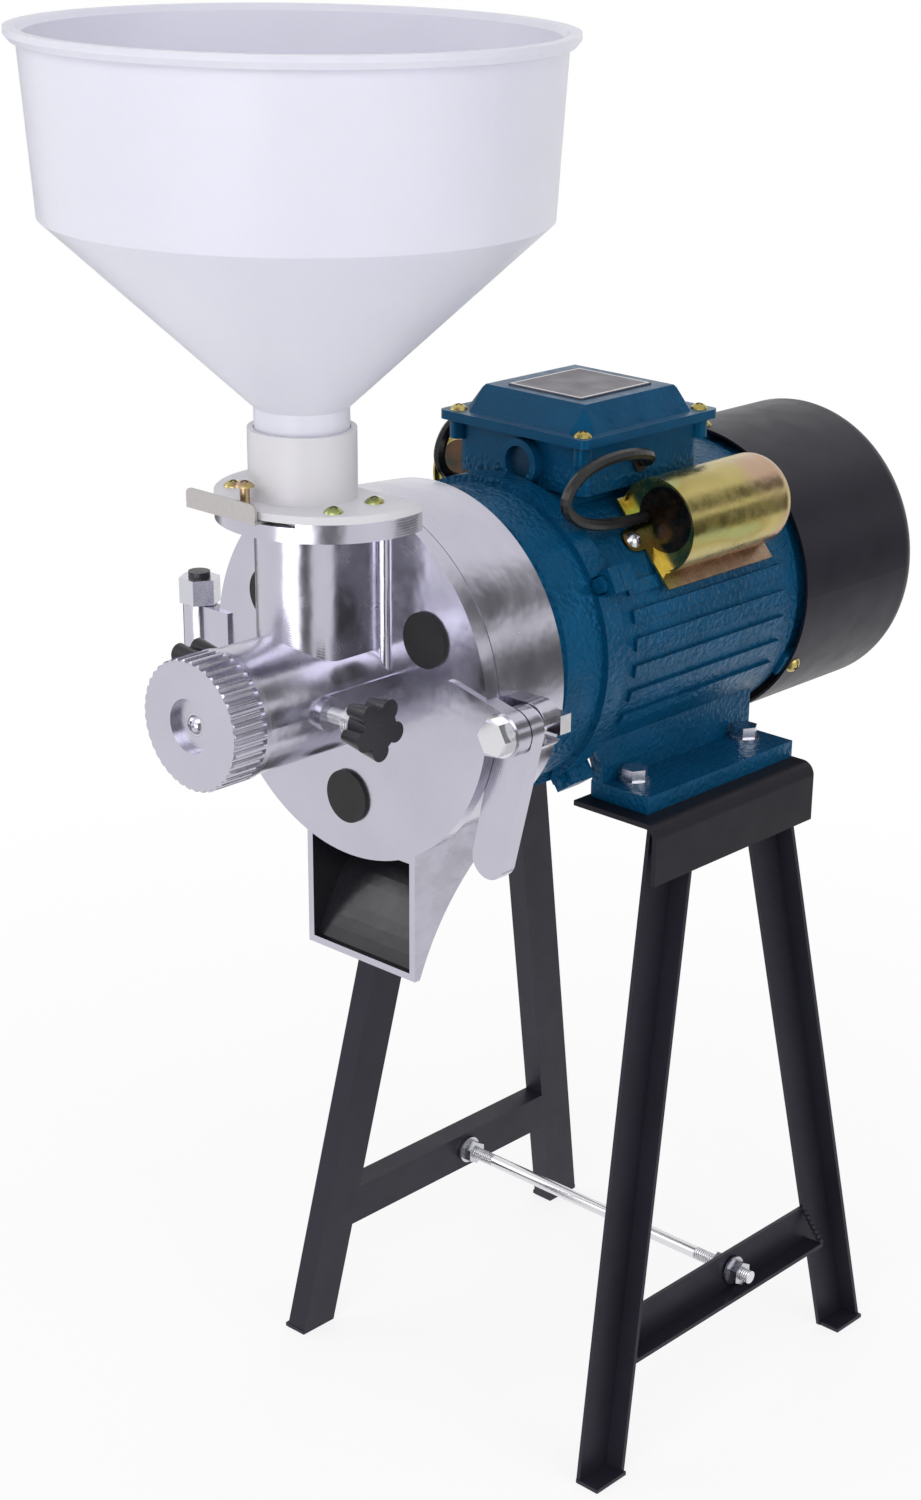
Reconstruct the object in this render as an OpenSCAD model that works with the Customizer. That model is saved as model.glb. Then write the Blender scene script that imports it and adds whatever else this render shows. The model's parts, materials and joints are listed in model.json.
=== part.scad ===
// Electric grain mill on a four-legged stand, driven by a foot-mounted motor.
// X points right, Y points from the mill towards the fan, Z points up from the floor.
// Stations along Y are written from the face where the mill bolts to the motor,
// and the whole machine is then shifted so that the origin lies under its middle.

/* [Stand] */
// Height of the rail tops above the floor
stand_h = 394; // [330:1:480]
// Length of a rail, front to back
rail_len = 144; // [138:1:170]
// Distance from the centre line to the outer face of a rail
rail_half = 109; // [107:1:116]
// Width of the rail's flat ledge
rail_ledge = 60; // [56:1:64]
// Drop of the rail's outer apron
rail_drop = 35; // [26:1:44]
// Thickness of the rail sheet
rail_t = 3; // [2:0.5:4]
// Width of the broad side of a leg angle
leg_web = 26; // [20:1:30]
// Width of the narrow side of a leg angle
leg_flange = 12; // [9:0.5:13]
// Thickness of the leg sheet
leg_t = 2.5; // [2:0.5:3.5]
// Lean of a leg towards its side, in degrees
leg_lean_side = 4; // [3.5:0.5:5]
// Lean of a leg towards its end of the stand, in degrees
leg_lean_end = 11.3; // [8:0.1:13]
// Distance from the centre line to the outer face of a foot
foot_half_x = 118; // [117:1:124]
// Distance from the stand's middle to the outer edge of a foot
foot_half_y = 132; // [120:1:142]
// Length of the bent tab under a leg
foot_tab = 14; // [8:1:20]
// Height of the crossbars' middle
crossbar_z = 80; // [60:1:160]
// Height of a crossbar
crossbar_h = 26; // [22:1:34]
// Radius of the tie rod
tie_rod_r = 4; // [3:0.5:5]
// Distance of the tie rod behind the stand's middle
tie_rod_off = 14; // [-20:1:24]

/* [Motor] */
// Height of the shaft over the motor feet
shaft_h = 90; // [90:1:100]
// Spacing of the foot bolts across the motor
foot_pitch_x = 140; // [134:1:144]
// Spacing of the foot bolts along the motor
foot_pitch_y = 100; // [90:1:104]
// Width over both motor feet
foot_w = 186; // [180:1:190]
// Width of one motor foot
foot_pad_w = 41; // [38:1:44]
// Length of a motor foot
foot_len = 132; // [126:1:138]
// Thickness of a motor foot
foot_t = 10; // [8:0.5:12]
// Distance from the mill flange to the middle of the motor feet
foot_mid = 134.5; // [132:0.5:140]
// Radius of the foot bolts
foot_bolt_r = 4; // [3:0.5:5]
// Radius of the motor frame
frame_r = 82; // [80:0.5:84]
// Wall of the motor frame
frame_wall = 11; // [8:0.5:12]
// Length of the motor frame
frame_len = 160; // [154:1:170]
// Length of the front bell
bell_len = 52; // [46:1:54]
// Radius of the front bell's rear rim
bell_rim_r = 87.5; // [86:0.5:89]
// Length of the rear bell
rear_bell_len = 20; // [16:1:24]
// Radius of the fan cover
fan_cover_r = 86.5; // [86:0.5:90]
// Length of the fan cover
fan_cover_len = 111.6; // [104:0.1:124]
// Wall of the fan cover
fan_cover_wall = 1.5; // [1:0.1:2]
// Radius of the shaft in its bearings
shaft_r = 12.5; // [11:0.5:13]
// Outer radius of a bearing
bearing_r = 26; // [24:0.5:27]
// Width of a bearing
bearing_w = 15; // [12:1:16]
// Length of the stator and rotor packs
core_len = 104; // [90:1:108]

/* [Terminal box] */
// Width of the box body
box_w = 92; // [84:1:94]
// Length of the box body
box_len = 98; // [88:1:104]
// Height of the box body
box_h = 26.5; // [24:0.5:34]
// Distance from the mill flange to the box's middle
box_mid = 111; // [107:1:112]
// Width of the lid
lid_w = 106; // [104:1:108]
// Length of the lid
lid_len = 114; // [110:1:116]
// Thickness of the lid's rim
lid_t = 5; // [3:0.5:7]
// Height of the lid's raised middle
lid_rise = 13.5; // [8:0.5:16]

/* [Capacitors] */
// Angle of a capacitor cover above the horizontal, in degrees
cap_angle = 42; // [40:0.5:42]
// Radius of a capacitor cover's shell
cap_shell_r = 26; // [25:0.5:26.5]
// Length of a capacitor cover's shell
cap_shell_len = 94; // [80:1:98]
// Radius of a capacitor
cap_r = 18; // [15:0.5:18]
// Length of a capacitor
cap_len = 82; // [60:1:86]
// Radius of a capacitor lead
lead_r = 3.2; // [2.6:0.1:3.3]

/* [Mill drum] */
// Radius of the drum at the cover joint
drum_r = 97; // [96:0.5:98]
// Wall of the drum
drum_wall = 8; // [6:0.5:9]
// Depth of the drum
drum_len = 61; // [60:0.5:64]
// Width of the chute
chute_w = 82; // [70:1:90]
// Height of the chute mouth below the shaft
chute_drop = 165; // [150:1:180]
// Wall of the chute
chute_wall = 4; // [3:0.5:5]
// Radius of the grinding plates
plate_r = 62; // [56:0.5:66]
// Thickness of a grinding plate
plate_t = 10; // [8:0.5:10.5]
// Widest gap between the grinding plates
plate_gap = 3.5; // [3.3:0.1:4]

/* [Front cover] */
// Radius of the cover disc
cover_r = 99.5; // [98.5:0.5:101]
// Thickness of the cover disc
cover_t = 7.5; // [6.5:0.5:9]
// Radius of the hub
hub_r = 33; // [31.5:0.5:34]
// Length of the hub in front of the cover
hub_len = 84; // [82:1:92]
// Radius of the hub's bore
hub_bore_r = 26; // [25:0.5:26.5]
// Pitch radius of the rubber plugs
plug_pitch_r = 66; // [64:0.5:68]
// Radius of a rubber plug
plug_r = 14.5; // [12:0.5:16]

/* [Feed] */
// Distance of the feed tube's middle in front of the cover
feed_off = 29; // [28:0.5:32]
// Outer half width of the feed tube
tube_half = 25; // [24:0.5:26]
// Radius of the feed bore
feed_r = 21; // [18:0.5:21.5]
// Radius of the feed flange
flange_r = 56; // [55:0.5:60]
// Height of the feed flange's top above the shaft
flange_top = 98.5; // [96:0.5:110]
// Thickness of the feed flange
flange_t = 9.5; // [8:0.5:11]
// Thickness of the collar's flange
collar_flange_t = 4; // [3:0.5:6]
// Outer radius of the collar
collar_r = 27.2; // [26.5:0.1:28]
// Height of the collar above its flange
collar_h = 34; // [30:0.5:40]
// Thickness of the gate sheet
gate_t = 1.5; // [1:0.1:2]
// Pull of the gate from shut to open
gate_travel = 48; // [44:1:52]
// Radius of the hopper's rim
hopper_rim_r = 133.5; // [129:0.5:150]
// Radius of the hopper at the top of its cone
hopper_cone_r = 123.2; // [110:0.1:126]
// Height of the hopper's cone
hopper_cone_h = 91.4; // [70:0.1:120]
// Height of the hopper's upper wall
hopper_wall_h = 85; // [60:1:120]
// Height of the hopper's neck
hopper_neck_h = 33; // [28:1:38]
// Wall of the hopper
hopper_wall = 2.5; // [2:0.1:2.9]

/* [Adjuster] */
// Radius of the adjusting knob
knob_r = 34; // [32:0.5:38]
// Length of the adjusting knob
knob_len = 24.5; // [20:0.5:30]
// Number of grooves round the knob
knob_grooves = 40; // [24:1:44]
// Reach of a star knob's outer face from the centre line
star_reach = 71; // [68:1:80]
// Overall radius of a star knob
star_r = 16.5; // [14:0.5:18]
// Length of a star knob's grip
star_grip = 14; // [12:1:17]
// Radius of a lock stud
stud_r = 4; // [3:0.5:5]

/* [Hinge and latch] */
// Distance from the centre line to the hinge pin
hinge_x = 117.5; // [116:0.5:119]
// Radius of the hinge pin
hinge_pin_r = 6; // [5:0.5:6.5]
// Distance from the centre line to the latch bolt
latch_x = 111; // [110.5:0.5:113]
// Radius of the latch bolt
latch_r = 5; // [4:0.5:5.5]
// Length of the latch lever between its ends
lever_len = 76; // [60:1:84]

/* [Clearances] */
// Radial clearance of a running fit
run_fit = 0.08; // [0.05:0.01:0.1]
// Clearance between pieces that move past each other
move_gap = 0.4; // [0.3:0.05:0.5]
// Radial clearance of a bolt in its hole
bolt_gap = 0.5; // [0.3:0.1:0.8]

/* [Hidden] */
$fn = 96;

// General values
cut = 1;
axis_h = stand_h + shaft_h;
near_gap = 0.3;
slot_w = 1.2;

// Stand stations
rail_back = 5;
stand_y = foot_mid - rail_back;
rail_bend_r = 8;
nut_over_share = 1.9;
nut_t_share = 1.6;
washer_share = 2.2;
washer_t = 1.5;
rod_wash_r = tie_rod_r * washer_share;
rod_wall_share = 1.1;
rod_outer = foot_half_x - (crossbar_z - rod_wash_r) * tan(leg_lean_side);
rod_inner = foot_half_x - rod_wall_share * leg_t - (crossbar_z + rod_wash_r) * tan(leg_lean_side);
rod_end = 6;

// Motor stations
frame_end = bell_len + frame_len;
fan_cover_gap = 4;
fan_cover_y = frame_end + fan_cover_gap;
fan_cover_end = fan_cover_y + fan_cover_len;
stator_r = frame_r - frame_wall;
rotor_r = 42;
air_gap = 0.4;
core_y = bell_len + (frame_len - core_len) / 2;
bell_nose_r = 74;
bell_wall = 6;
bell_face_t = 8;
bell_rim_t = 14;
bell_shoulder = 2;
bearing_lip = 2;
bearing_wall = 6;
bearing_bore_y = bell_face_t + bearing_lip;
rear_bearing_y = frame_end - bearing_w - bearing_lip;
bearing_boss_r = bearing_r + bearing_wall;
rear_rim_in = 3;
rear_boss_w = 14;
race_t = 3;
ball_count = 8;
shaft_gap = 1;
bolt_short = 1;
nose_step = 0.5;
shaft_nose_r = shaft_r - nose_step;
shaft_body_r = 17;
shaft_nose_y = -26.5;
shaft_tail = 78;
shaft_end_y = frame_end + shaft_tail;
bell_bolt_r = 2.5;
bell_bolt_angles = [29, 151, 235, 305];
bell_ear_w = 14;
bell_ear_r = 95;
bell_ear_root = 76;
bell_ear_t = 8;
frame_ear_t = 10;
bell_bolt_pitch_r = 88;
rib_w = 7;
rib_h = 2;
rib_step = 10.5;
rib_count = 6;
rib_first = -27.5;
skirt_t = 8;
skirt_out = foot_pitch_x / 2 - foot_bolt_r * washer_share - 2 * near_gap;
skirt_in = skirt_out - skirt_t;
skirt_root_r = frame_r - frame_wall / 2;
skirt_top_out = sqrt(skirt_root_r * skirt_root_r - skirt_out * skirt_out);
skirt_top_in = sqrt(skirt_root_r * skirt_root_r - skirt_in * skirt_in);
skirt_arc_r = 34;
seat_w = 72;
seat_low = 72;
box_low = 80;
wire_hole_r = 9;
fan_hub_r = 18;
fan_r = 70;
fan_back = 36;
fan_y = frame_end + fan_back;
fan_disc_t = 3;
fan_blade_w = 26;
fan_blades = 8;
grille_slot_w = 6;
grille_pitch = 14;
grille_first_r = 20;
grille_rings = 3;
grille_arc = 34;
grille_step = 45;
fan_edge_r = 12;
fan_screw_angles = [90, 210, 330];
fan_screw_back = 6;
small_screw_r = 2.5;
small_head_r = 5;
small_head_h = 3;
screw_bite = 5;

// Terminal box values
box_wall = 3;
box_corner_r = 6;
lid_corner_r = 4;
gasket_t = 1.5;
lid_y = box_low + box_h + gasket_t;
lid_base_w = 92;
lid_base_len = 100;
lid_cut_base = 122;
lid_cut_top = 105;
lid_top_w = 72;
lid_top_len = 74;
lid_screw_in = 8;
plate_sheet_t = 0.8;
plate_w = 54;
plate_len = 60;
plate_corner_r = 2;
box_lug_h = 9;
boss_r = 13;
boss_len = 7;
boss_x = 5;
boss_bore_r = 9;
boss_z = box_low + box_h / 2;
plug_sink = 4;
plug_len = 8;
block_w = 50;
block_len = 18;
block_h = 14;
block_studs = 6;
grommet_r = 6.5;
grommet_rise = 13;
grommet_off = 2;
grommet_z = box_low + grommet_rise;
grommet_y = box_mid - grommet_off;
grommet_lip = 1.5;

// Capacitor values
cap_wall = 1.2;
cap_lip = 10;
cap_lip_t = 1.5;
cap_base = frame_r + near_gap + cap_lip_t;
cap_rise = 10.8;
cap_centre = cap_base + cap_rise;
cap_back = 16;
cap_front = box_mid - cap_back;
cap_ear = 16;
cap_ear_r = 7;
cap_strip = 4;
cap_end_r = 12;
cap_rim = 2;
cap_can_y = cap_front + cap_rim + cap_wall + near_gap;
cap_mid = frame_r + cap_r + near_gap;
cap_lead_u = 9;
cap_lead_rise = 5.5;

// Drum stations and chute
drum_rear_r = 93;
drum_edge_r = 4;
drum_face_t = 8;
drum_step = 1;
drum_in_r = drum_r - drum_wall - drum_step;
drum_rim_t = 3.5;
drum_groove = 1.2;
seal_edge = 2;
drum_front = -drum_len;
joint_gap = 0.6;
cover_rear = drum_front - joint_gap;
cover_front = cover_rear - cover_t;
neck_low = 97;
outlet_w = 72;
outlet_rim = 6;
chute_sag = 7;
chute_steps = 12;
seal_r = 22;
seal_t = 6;
seal_in = 1;
drum_bolt_pitch_r = 66;
plate_rear = -24.5;
carrier_r = 50;
carrier_t = 9;
paddle_w = 6;
paddle_count = 4;
paddle_r = 80;
groove_count = 12;
groove_w = 3;
groove_d = 1.5;
dog_w = 6;
dog_len = 24;
dog_gap = 1;
dog_depth = 7;
dog_reach = 2;

// Cover and feed stations
hopper_y = cover_front - feed_off;
hub_front = cover_front - hub_len;
flange_off = 13.4;
flange_y = cover_front - flange_off;
hub_cap_t = 5;
plug_lip = 2;
plug_head = 2;
plug_angles = [30, 150, 270];
rib_t = 5;
rib_out = 31;
bead_r = 3.6;
side_boss_r = 9;
side_boss_x = 37;
stud_off = 17.5;
stud_y = hopper_y - stud_off;
collar_wall = 3;
gate_half = 28;
gate_back = 26;
gate_rear = hopper_y + gate_back;
gate_in = 9;
gate_side = 0.5;
tab_left = 38;
tab_right = 12;
tab_h = 10;
tab_corner_r = 3;
slot_play = 0.5;
gate_slot = gate_t + slot_play;
collar_screw_x = 36;
collar_screw_y = 14;
clamp_x = -5;
clamp_in = 6;
clamp_rise = 9;
neck_r = collar_r - collar_wall - move_gap;
collar_base = flange_top + collar_flange_t;
collar_top = collar_base + collar_h;
cone_rise = 10.4;
cone_base = collar_top + cone_rise;
cone_top = cone_base + hopper_cone_h;
rim_z = cone_top + hopper_wall_h;
rim_lip = 5.5;
hopper_wall_r = hopper_rim_r - rim_lip;
rim_drop = 6;

// Adjuster stations
sleeve_r = hub_bore_r - run_fit;
sleeve_in_r = feed_r;
sleeve_setback = 12;
sleeve_front = hub_front + sleeve_setback;
sleeve_block = 20;
sleeve_step = 1;
sleeve_reach = 13.6;
sleeve_rear = cover_rear + sleeve_reach;
sleeve_flange_r = 45;
sleeve_flange_t = 6;
sleeve_travel = 3;
fixed_front = sleeve_rear;
fixed_rear = fixed_front + plate_t;
rotor_plate_front = fixed_rear + plate_gap;
screw_r = 6;
screw_collar_r = 10;
screw_collar_t = 3;
screw_in = 9;
screw_pocket = 10;
journal_r = 8;
journal_len = 7;
auger_gap = 1.5;
auger_r = feed_r - auger_gap;
auger_core_r = 8;
auger_pitch = 22;
auger_blade_t = 3;
auger_blade_w = 44;
knob_recess_r = 14;
knob_recess = 4;
knob_groove_r = 2.3;
knob_groove_share = 0.4;
knob_ring = 3.5;
knob_bevel = 0.8;
star_lobes = 5;
star_core_r = 11;
star_neck_r = 8;
star_base_r = 9.5;
star_taper_share = 0.6;

// Hinge and latch stations
hinge_back = 3;
hinge_y = cover_front + hinge_back;
lug_r = 9.5;
lug_top = 15;
lug_mid = -10;
lug_low = -36;
hinge_nut_h = 14;
pin_over = 3.5;
latch_z = -4;
latch_lug_r = 12;
latch_proud = 2;
latch_lug_t = 9;
latch_root_share = 1.5;
latch_front = cover_front - latch_proud;
latch_back = latch_front + latch_lug_t;
lever_t = 9;
lever_tip_r = 11;
lever_angle = 257;
lever_y = cover_rear + near_gap;
fork_y = lever_y + lever_t + 2 * near_gap;
fork_len = 12;
fork_wall = 1;
hammer_half = 11;
hammer_t = 8;
fork_play = 1.5;
fork_slot = latch_r + fork_play;
latch_head_t = 6;

// The machine's reach along Y, which puts the origin under its middle
front_reach = hopper_y - hopper_rim_r;
y_shift = -(front_reach + fan_cover_end) / 2;

// Placing helpers

// Puts the local Z axis on the shaft line, pointing at the fan
module on_axis(y = 0) {
    translate([0, y, axis_h]) rotate([-90, 0, 0]) children();
}

// Turns an outline of radius and station round the shaft line
module turned(points) {
    on_axis() rotate_extrude() polygon(points);
}

// Extrudes an X and Z outline along Y, measured from the shaft line
module along_y(y, len) {
    translate([0, y + len, axis_h]) rotate([90, 0, 0]) linear_extrude(len) children();
}

module disc(y, len, r) {
    on_axis(y) cylinder(h = len, r = r);
}

module ring(y, len, outer, inner) {
    on_axis(y) difference() {
        cylinder(h = len, r = outer);
        translate([0, 0, -cut]) cylinder(h = len + 2 * cut, r = inner);
    }
}

// A rounded rectangle about the origin
module soft_rect(w, l, r) {
    square([w - 2 * r, l], center = true);
    square([w, l - 2 * r], center = true);
    for (x = [-1, 1], y = [-1, 1]) translate([x * (w / 2 - r), y * (l / 2 - r)]) circle(r = r);
}

// Two discs of thickness t joined by their common tangents
module link(p, rp, q, rq, t) {
    d = norm(q - p);
    a = atan2(q[1] - p[1], q[0] - p[0]);
    b = acos((rp - rq) / d);
    translate(p) cylinder(h = t, r = rp);
    translate(q) cylinder(h = t, r = rq);
    linear_extrude(t) polygon([
        p + (rp - run_fit) * [cos(a + b), sin(a + b)],
        q + (rq - run_fit) * [cos(a + b), sin(a + b)],
        q + (rq - run_fit) * [cos(a - b), sin(a - b)],
        p + (rp - run_fit) * [cos(a - b), sin(a - b)]]);
}

// A domed cross-head screw, its seat at the origin and its shank downwards
module pan_screw(head_r, head_h, r, len) {
    dome_r = (head_r * head_r + head_h * head_h) / (2 * head_h);
    difference() {
        intersection() {
            translate([0, 0, head_h - dome_r]) sphere(r = dome_r);
            cylinder(h = head_h + cut, r = head_r);
        }
        for (a = [0, 90]) rotate(a) translate([-head_r / 2, -slot_w / 2, head_h / 2])
            cube([head_r, slot_w, head_h]);
    }
    translate([0, 0, -len]) cylinder(h = len, r = r);
}

// A hexagon head or nut of the usual size for a bolt radius
module hex(r, h) {
    cylinder(h = h, r = r * nut_over_share, $fn = 6);
}

module nut(r, h) {
    difference() {
        hex(r, h);
        translate([0, 0, -cut]) cylinder(h = h + 2 * cut, r = r + run_fit);
    }
}

module washer(r, outer, t) {
    difference() {
        cylinder(h = t, r = outer);
        translate([0, 0, -cut]) cylinder(h = t + 2 * cut, r = r + run_fit);
    }
}

// Stand

// Outline of a rail, its outer top corner at the origin
module rail_section() {
    difference() {
        union() {
            translate([-rail_ledge, -rail_t]) square([rail_ledge - rail_bend_r, rail_t]);
            translate([-rail_t, -rail_drop]) square([rail_t, rail_drop - rail_bend_r]);
            translate([-rail_bend_r, -rail_bend_r]) intersection() {
                circle(r = rail_bend_r);
                square(rail_bend_r);
            }
        }
        translate([-rail_bend_r, -rail_bend_r]) circle(r = rail_bend_r - rail_t);
    }
}

module foot_places() {
    for (s = [-1, 1]) translate([foot_pitch_x / 2, foot_mid + s * foot_pitch_y / 2, stand_h])
        children();
}

module rail() {
    difference() {
        translate([rail_half, stand_y + rail_len / 2, stand_h]) rotate([90, 0, 0])
            linear_extrude(rail_len) rail_section();
        foot_places() translate([0, 0, -rail_t - cut])
            cylinder(h = rail_t + 2 * cut, r = foot_bolt_r + bolt_gap);
    }
}

module rail_right() {
    color("#17181b") rail();
}

module rail_left() {
    color("#17181b") mirror([1, 0, 0]) rail();
}

// Sweeps an outline along a leg's slope, from the leg's outer edge at the floor
module along_leg(end) {
    translate([foot_half_x, stand_y + end * foot_half_y, 0])
        rotate([end * leg_lean_end, -leg_lean_side, 0]) translate([0, 0, -stand_h])
            linear_extrude(3 * stand_h) translate([-leg_t, end < 0 ? 0 : -leg_web]) children();
}

// A leg angle on the right side: its web stands along Y and its flange points out
module right_leg(end) {
    start = stand_y + end * foot_half_y - (end < 0 ? 0 : leg_web);
    intersection() {
        along_leg(end) {
            square([leg_t, leg_web]);
            translate([0, leg_web - leg_t]) square([leg_t + leg_flange, leg_t]);
        }
        translate([0, stand_y - 2 * foot_half_y, 0])
            cube([2 * foot_half_x, 4 * foot_half_y, stand_h - rail_t]);
    }
    translate([foot_half_x - leg_t, start, 0]) cube([leg_t + foot_tab, leg_web, leg_t]);
}

// The left side frame is the right one turned half round
module left_side() {
    translate([0, stand_y, 0]) rotate(180) translate([0, -stand_y, 0]) children();
}

module leg_front_right() {
    color("#1d1e24") right_leg(-1);
}

module leg_rear_right() {
    color("#1d1e24") right_leg(1);
}

module leg_front_left() {
    color("#1d1e24") left_side() right_leg(1);
}

module leg_rear_left() {
    color("#1d1e24") left_side() right_leg(-1);
}

// A crossbar between two legs, its flange at the foot or at the top of its web
module right_crossbar(rod_y, flange_z) {
    low = crossbar_z - crossbar_h / 2;
    reach = foot_half_y - crossbar_z * tan(leg_lean_end) - leg_web / 2;
    difference() {
        translate([foot_half_x, stand_y - reach, 0]) rotate([0, -leg_lean_side, 0])
            translate([-leg_t, 0, low]) {
                cube([leg_t, 2 * reach, crossbar_h]);
                translate([0, 0, flange_z]) cube([leg_t + leg_flange, 2 * reach, leg_t]);
            }
        for (end = [-1, 1]) along_leg(end) translate([-cut, 0]) square([leg_web + cut, leg_web]);
        translate([0, rod_y, crossbar_z]) rotate([0, 90, 0])
            cylinder(h = foot_half_x, r = tie_rod_r + bolt_gap);
    }
}

module crossbar_right() {
    color("#1d1e24") right_crossbar(stand_y + tie_rod_off, 0);
}

module crossbar_left() {
    color("#1d1e24") left_side() right_crossbar(stand_y - tie_rod_off, crossbar_h - leg_t);
}

module tie_rod() {
    half = rod_outer + washer_t + tie_rod_r * nut_t_share + rod_end;
    color("#b9bcc2") translate([-half, stand_y + tie_rod_off, crossbar_z]) rotate([0, 90, 0])
        cylinder(h = 2 * half, r = tie_rod_r);
}

module tie_rod_nuts() {
    color("#b9bcc2") for (s = [-1, 1], side = [-1, 1])
        translate([s * (side > 0 ? rod_outer : rod_inner), stand_y + tie_rod_off, crossbar_z])
        rotate([0, s * side * 90, 0]) {
            washer(tie_rod_r, rod_wash_r, washer_t);
            translate([0, 0, washer_t]) nut(tie_rod_r, tie_rod_r * nut_t_share);
        }
}

module foot_bolts() {
    length = foot_t + rail_t + 2 * washer_t + foot_bolt_r * nut_t_share + washer_t;
    color("#c9cbd0") for (m = [0, 1]) mirror([m, 0, 0]) foot_places() translate([0, 0, foot_t]) {
        washer(foot_bolt_r, foot_bolt_r * washer_share, washer_t);
        translate([0, 0, washer_t]) hex(foot_bolt_r, foot_bolt_r * nut_t_share);
        translate([0, 0, washer_t - length]) cylinder(h = length, r = foot_bolt_r);
    }
}

module foot_nuts() {
    color("#c9cbd0") for (m = [0, 1]) mirror([m, 0, 0]) foot_places()
        translate([0, 0, -rail_t]) mirror([0, 0, 1]) {
            washer(foot_bolt_r, foot_bolt_r * washer_share, washer_t);
            translate([0, 0, washer_t]) nut(foot_bolt_r, foot_bolt_r * nut_t_share);
        }
}

// Motor

// Ears for the bolts that hold a bell to the frame
module ears(y, t) {
    for (a = bell_bolt_angles) translate([0, y, axis_h]) rotate([0, -a, 0])
        translate([bell_ear_root, 0, -bell_ear_w / 2])
            cube([bell_ear_r - bell_ear_root, t, bell_ear_w]);
}

module bell_bolt_places(y) {
    for (a = bell_bolt_angles) on_axis(y) rotate(-a) translate([bell_bolt_pitch_r, 0, 0]) children();
}

module front_bell() {
    color("#1b4f76") difference() {
        union() {
            turned([
                [shaft_r + shaft_gap, 0],
                [bell_nose_r, 0],
                [bell_nose_r, bell_face_t],
                [bell_nose_r + bell_wall, bell_face_t + bell_wall],
                [frame_r + bell_shoulder, bell_len - bell_rim_t],
                [bell_rim_r, bell_len - bell_rim_t],
                [bell_rim_r, bell_len],
                [stator_r + bell_wall, bell_len],
                [bell_nose_r - bell_wall, bell_face_t + bell_wall],
                [bell_nose_r - 2 * bell_wall, bell_face_t],
                [bearing_boss_r, bell_face_t],
                [bearing_boss_r, bearing_bore_y + bearing_w],
                [bearing_r + run_fit, bearing_bore_y + bearing_w],
                [bearing_r + run_fit, bearing_bore_y],
                [shaft_r + shaft_gap, bearing_bore_y]]);
            difference() {
                ears(bell_len - bell_ear_t, bell_ear_t - near_gap);
                disc(0, bell_len + cut, frame_r);
            }
        }
        bell_bolt_places(0) {
            cylinder(h = bell_len + cut, r = bell_bolt_r + bolt_gap);
            cylinder(h = bell_len - bell_ear_t + near_gap, r = bell_bolt_r * nut_over_share + bolt_gap);
        }
    }
}

module feet() {
    pad_in = foot_w / 2 - foot_pad_w;
    foot_y = foot_mid - foot_len / 2;
    translate([pad_in, foot_y, stand_h]) cube([foot_pad_w, foot_len, foot_t]);
    difference() {
        along_y(bell_len, foot_y + foot_len - bell_len) polygon([
            [skirt_in, -skirt_top_in],
            [skirt_out, -skirt_top_out],
            [skirt_out, foot_t / 2 - shaft_h],
            [skirt_in, foot_t / 2 - shaft_h]]);
        translate([0, foot_y - skirt_arc_r, stand_h + foot_t]) rotate([0, 90, 0])
            cylinder(h = foot_w, r = skirt_arc_r);
        translate([0, 0, stand_h - cut]) cube([foot_w, foot_y, foot_t + cut]);
    }
}

module motor_frame() {
    color("#1b4f76") difference() {
        union() {
            ring(bell_len, frame_len, frame_r, stator_r + run_fit);
            for (m = [0, 1]) mirror([m, 0, 0]) {
                feet();
                for (i = [0 : rib_count - 1]) translate([0, bell_len + bell_ear_w, axis_h])
                    rotate([0, -rib_first - i * rib_step, 0])
                        translate([frame_r - rib_h, 0, -rib_w / 2])
                            cube([2 * rib_h, frame_len - 2 * bell_ear_w, rib_w]);
            }
            difference() {
                ears(bell_len, frame_ear_t);
                disc(bell_len - cut, frame_len, stator_r + run_fit);
            }
            translate([-seat_w / 2, box_mid - box_len / 2 + box_wall, axis_h + seat_low])
                cube([seat_w, box_len - 2 * box_wall, box_low - seat_low]);
        }
        for (m = [0, 1]) mirror([m, 0, 0]) foot_places() translate([0, 0, -cut])
            cylinder(h = foot_t + 2 * cut, r = foot_bolt_r + bolt_gap);
        bell_bolt_places(bell_len - cut) cylinder(h = frame_ear_t + 2 * cut, r = bell_bolt_r + run_fit);
        translate([0, box_mid, axis_h + stator_r - cut]) cylinder(h = box_low, r = wire_hole_r);
        translate([-box_w / 2 - move_gap, bell_len - cut, axis_h + box_low])
            cube([box_w + 2 * move_gap, box_mid + box_len / 2 + move_gap - bell_len + cut, box_h]);
        cap_screw_places(frame_r - 2 * screw_bite)
            cylinder(h = 3 * screw_bite, r = small_screw_r + run_fit);
    }
}

module rear_bell() {
    rear_r = frame_r - rear_rim_in;
    boss_reach = fan_cover_r - fan_cover_wall - move_gap;
    color("#1b4f76") difference() {
        union() {
            turned([
                [shaft_r + shaft_gap, frame_end + bell_wall],
                [shaft_r + shaft_gap, rear_bearing_y + bearing_w],
                [bearing_r + run_fit, rear_bearing_y + bearing_w],
                [bearing_r + run_fit, rear_bearing_y],
                [bearing_boss_r, rear_bearing_y],
                [bearing_boss_r, frame_end],
                [rear_r, frame_end],
                [rear_r, frame_end + rear_bell_len],
                [rear_r - bell_wall, frame_end + rear_bell_len],
                [rear_r - 2 * bell_wall, frame_end + bell_wall]]);
            on_axis(frame_end) intersection() {
                cylinder(h = rear_bell_len, r = boss_reach);
                for (a = fan_screw_angles) rotate(-a) translate([rear_r - bell_wall / 2, -rear_boss_w / 2, 0])
                    cube([boss_reach, rear_boss_w, rear_bell_len]);
            }
        }
        fan_screw_places() translate([0, 0, fan_cover_r - 2 * screw_bite])
            cylinder(h = 2 * screw_bite, r = small_screw_r + run_fit);
    }
}

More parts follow.
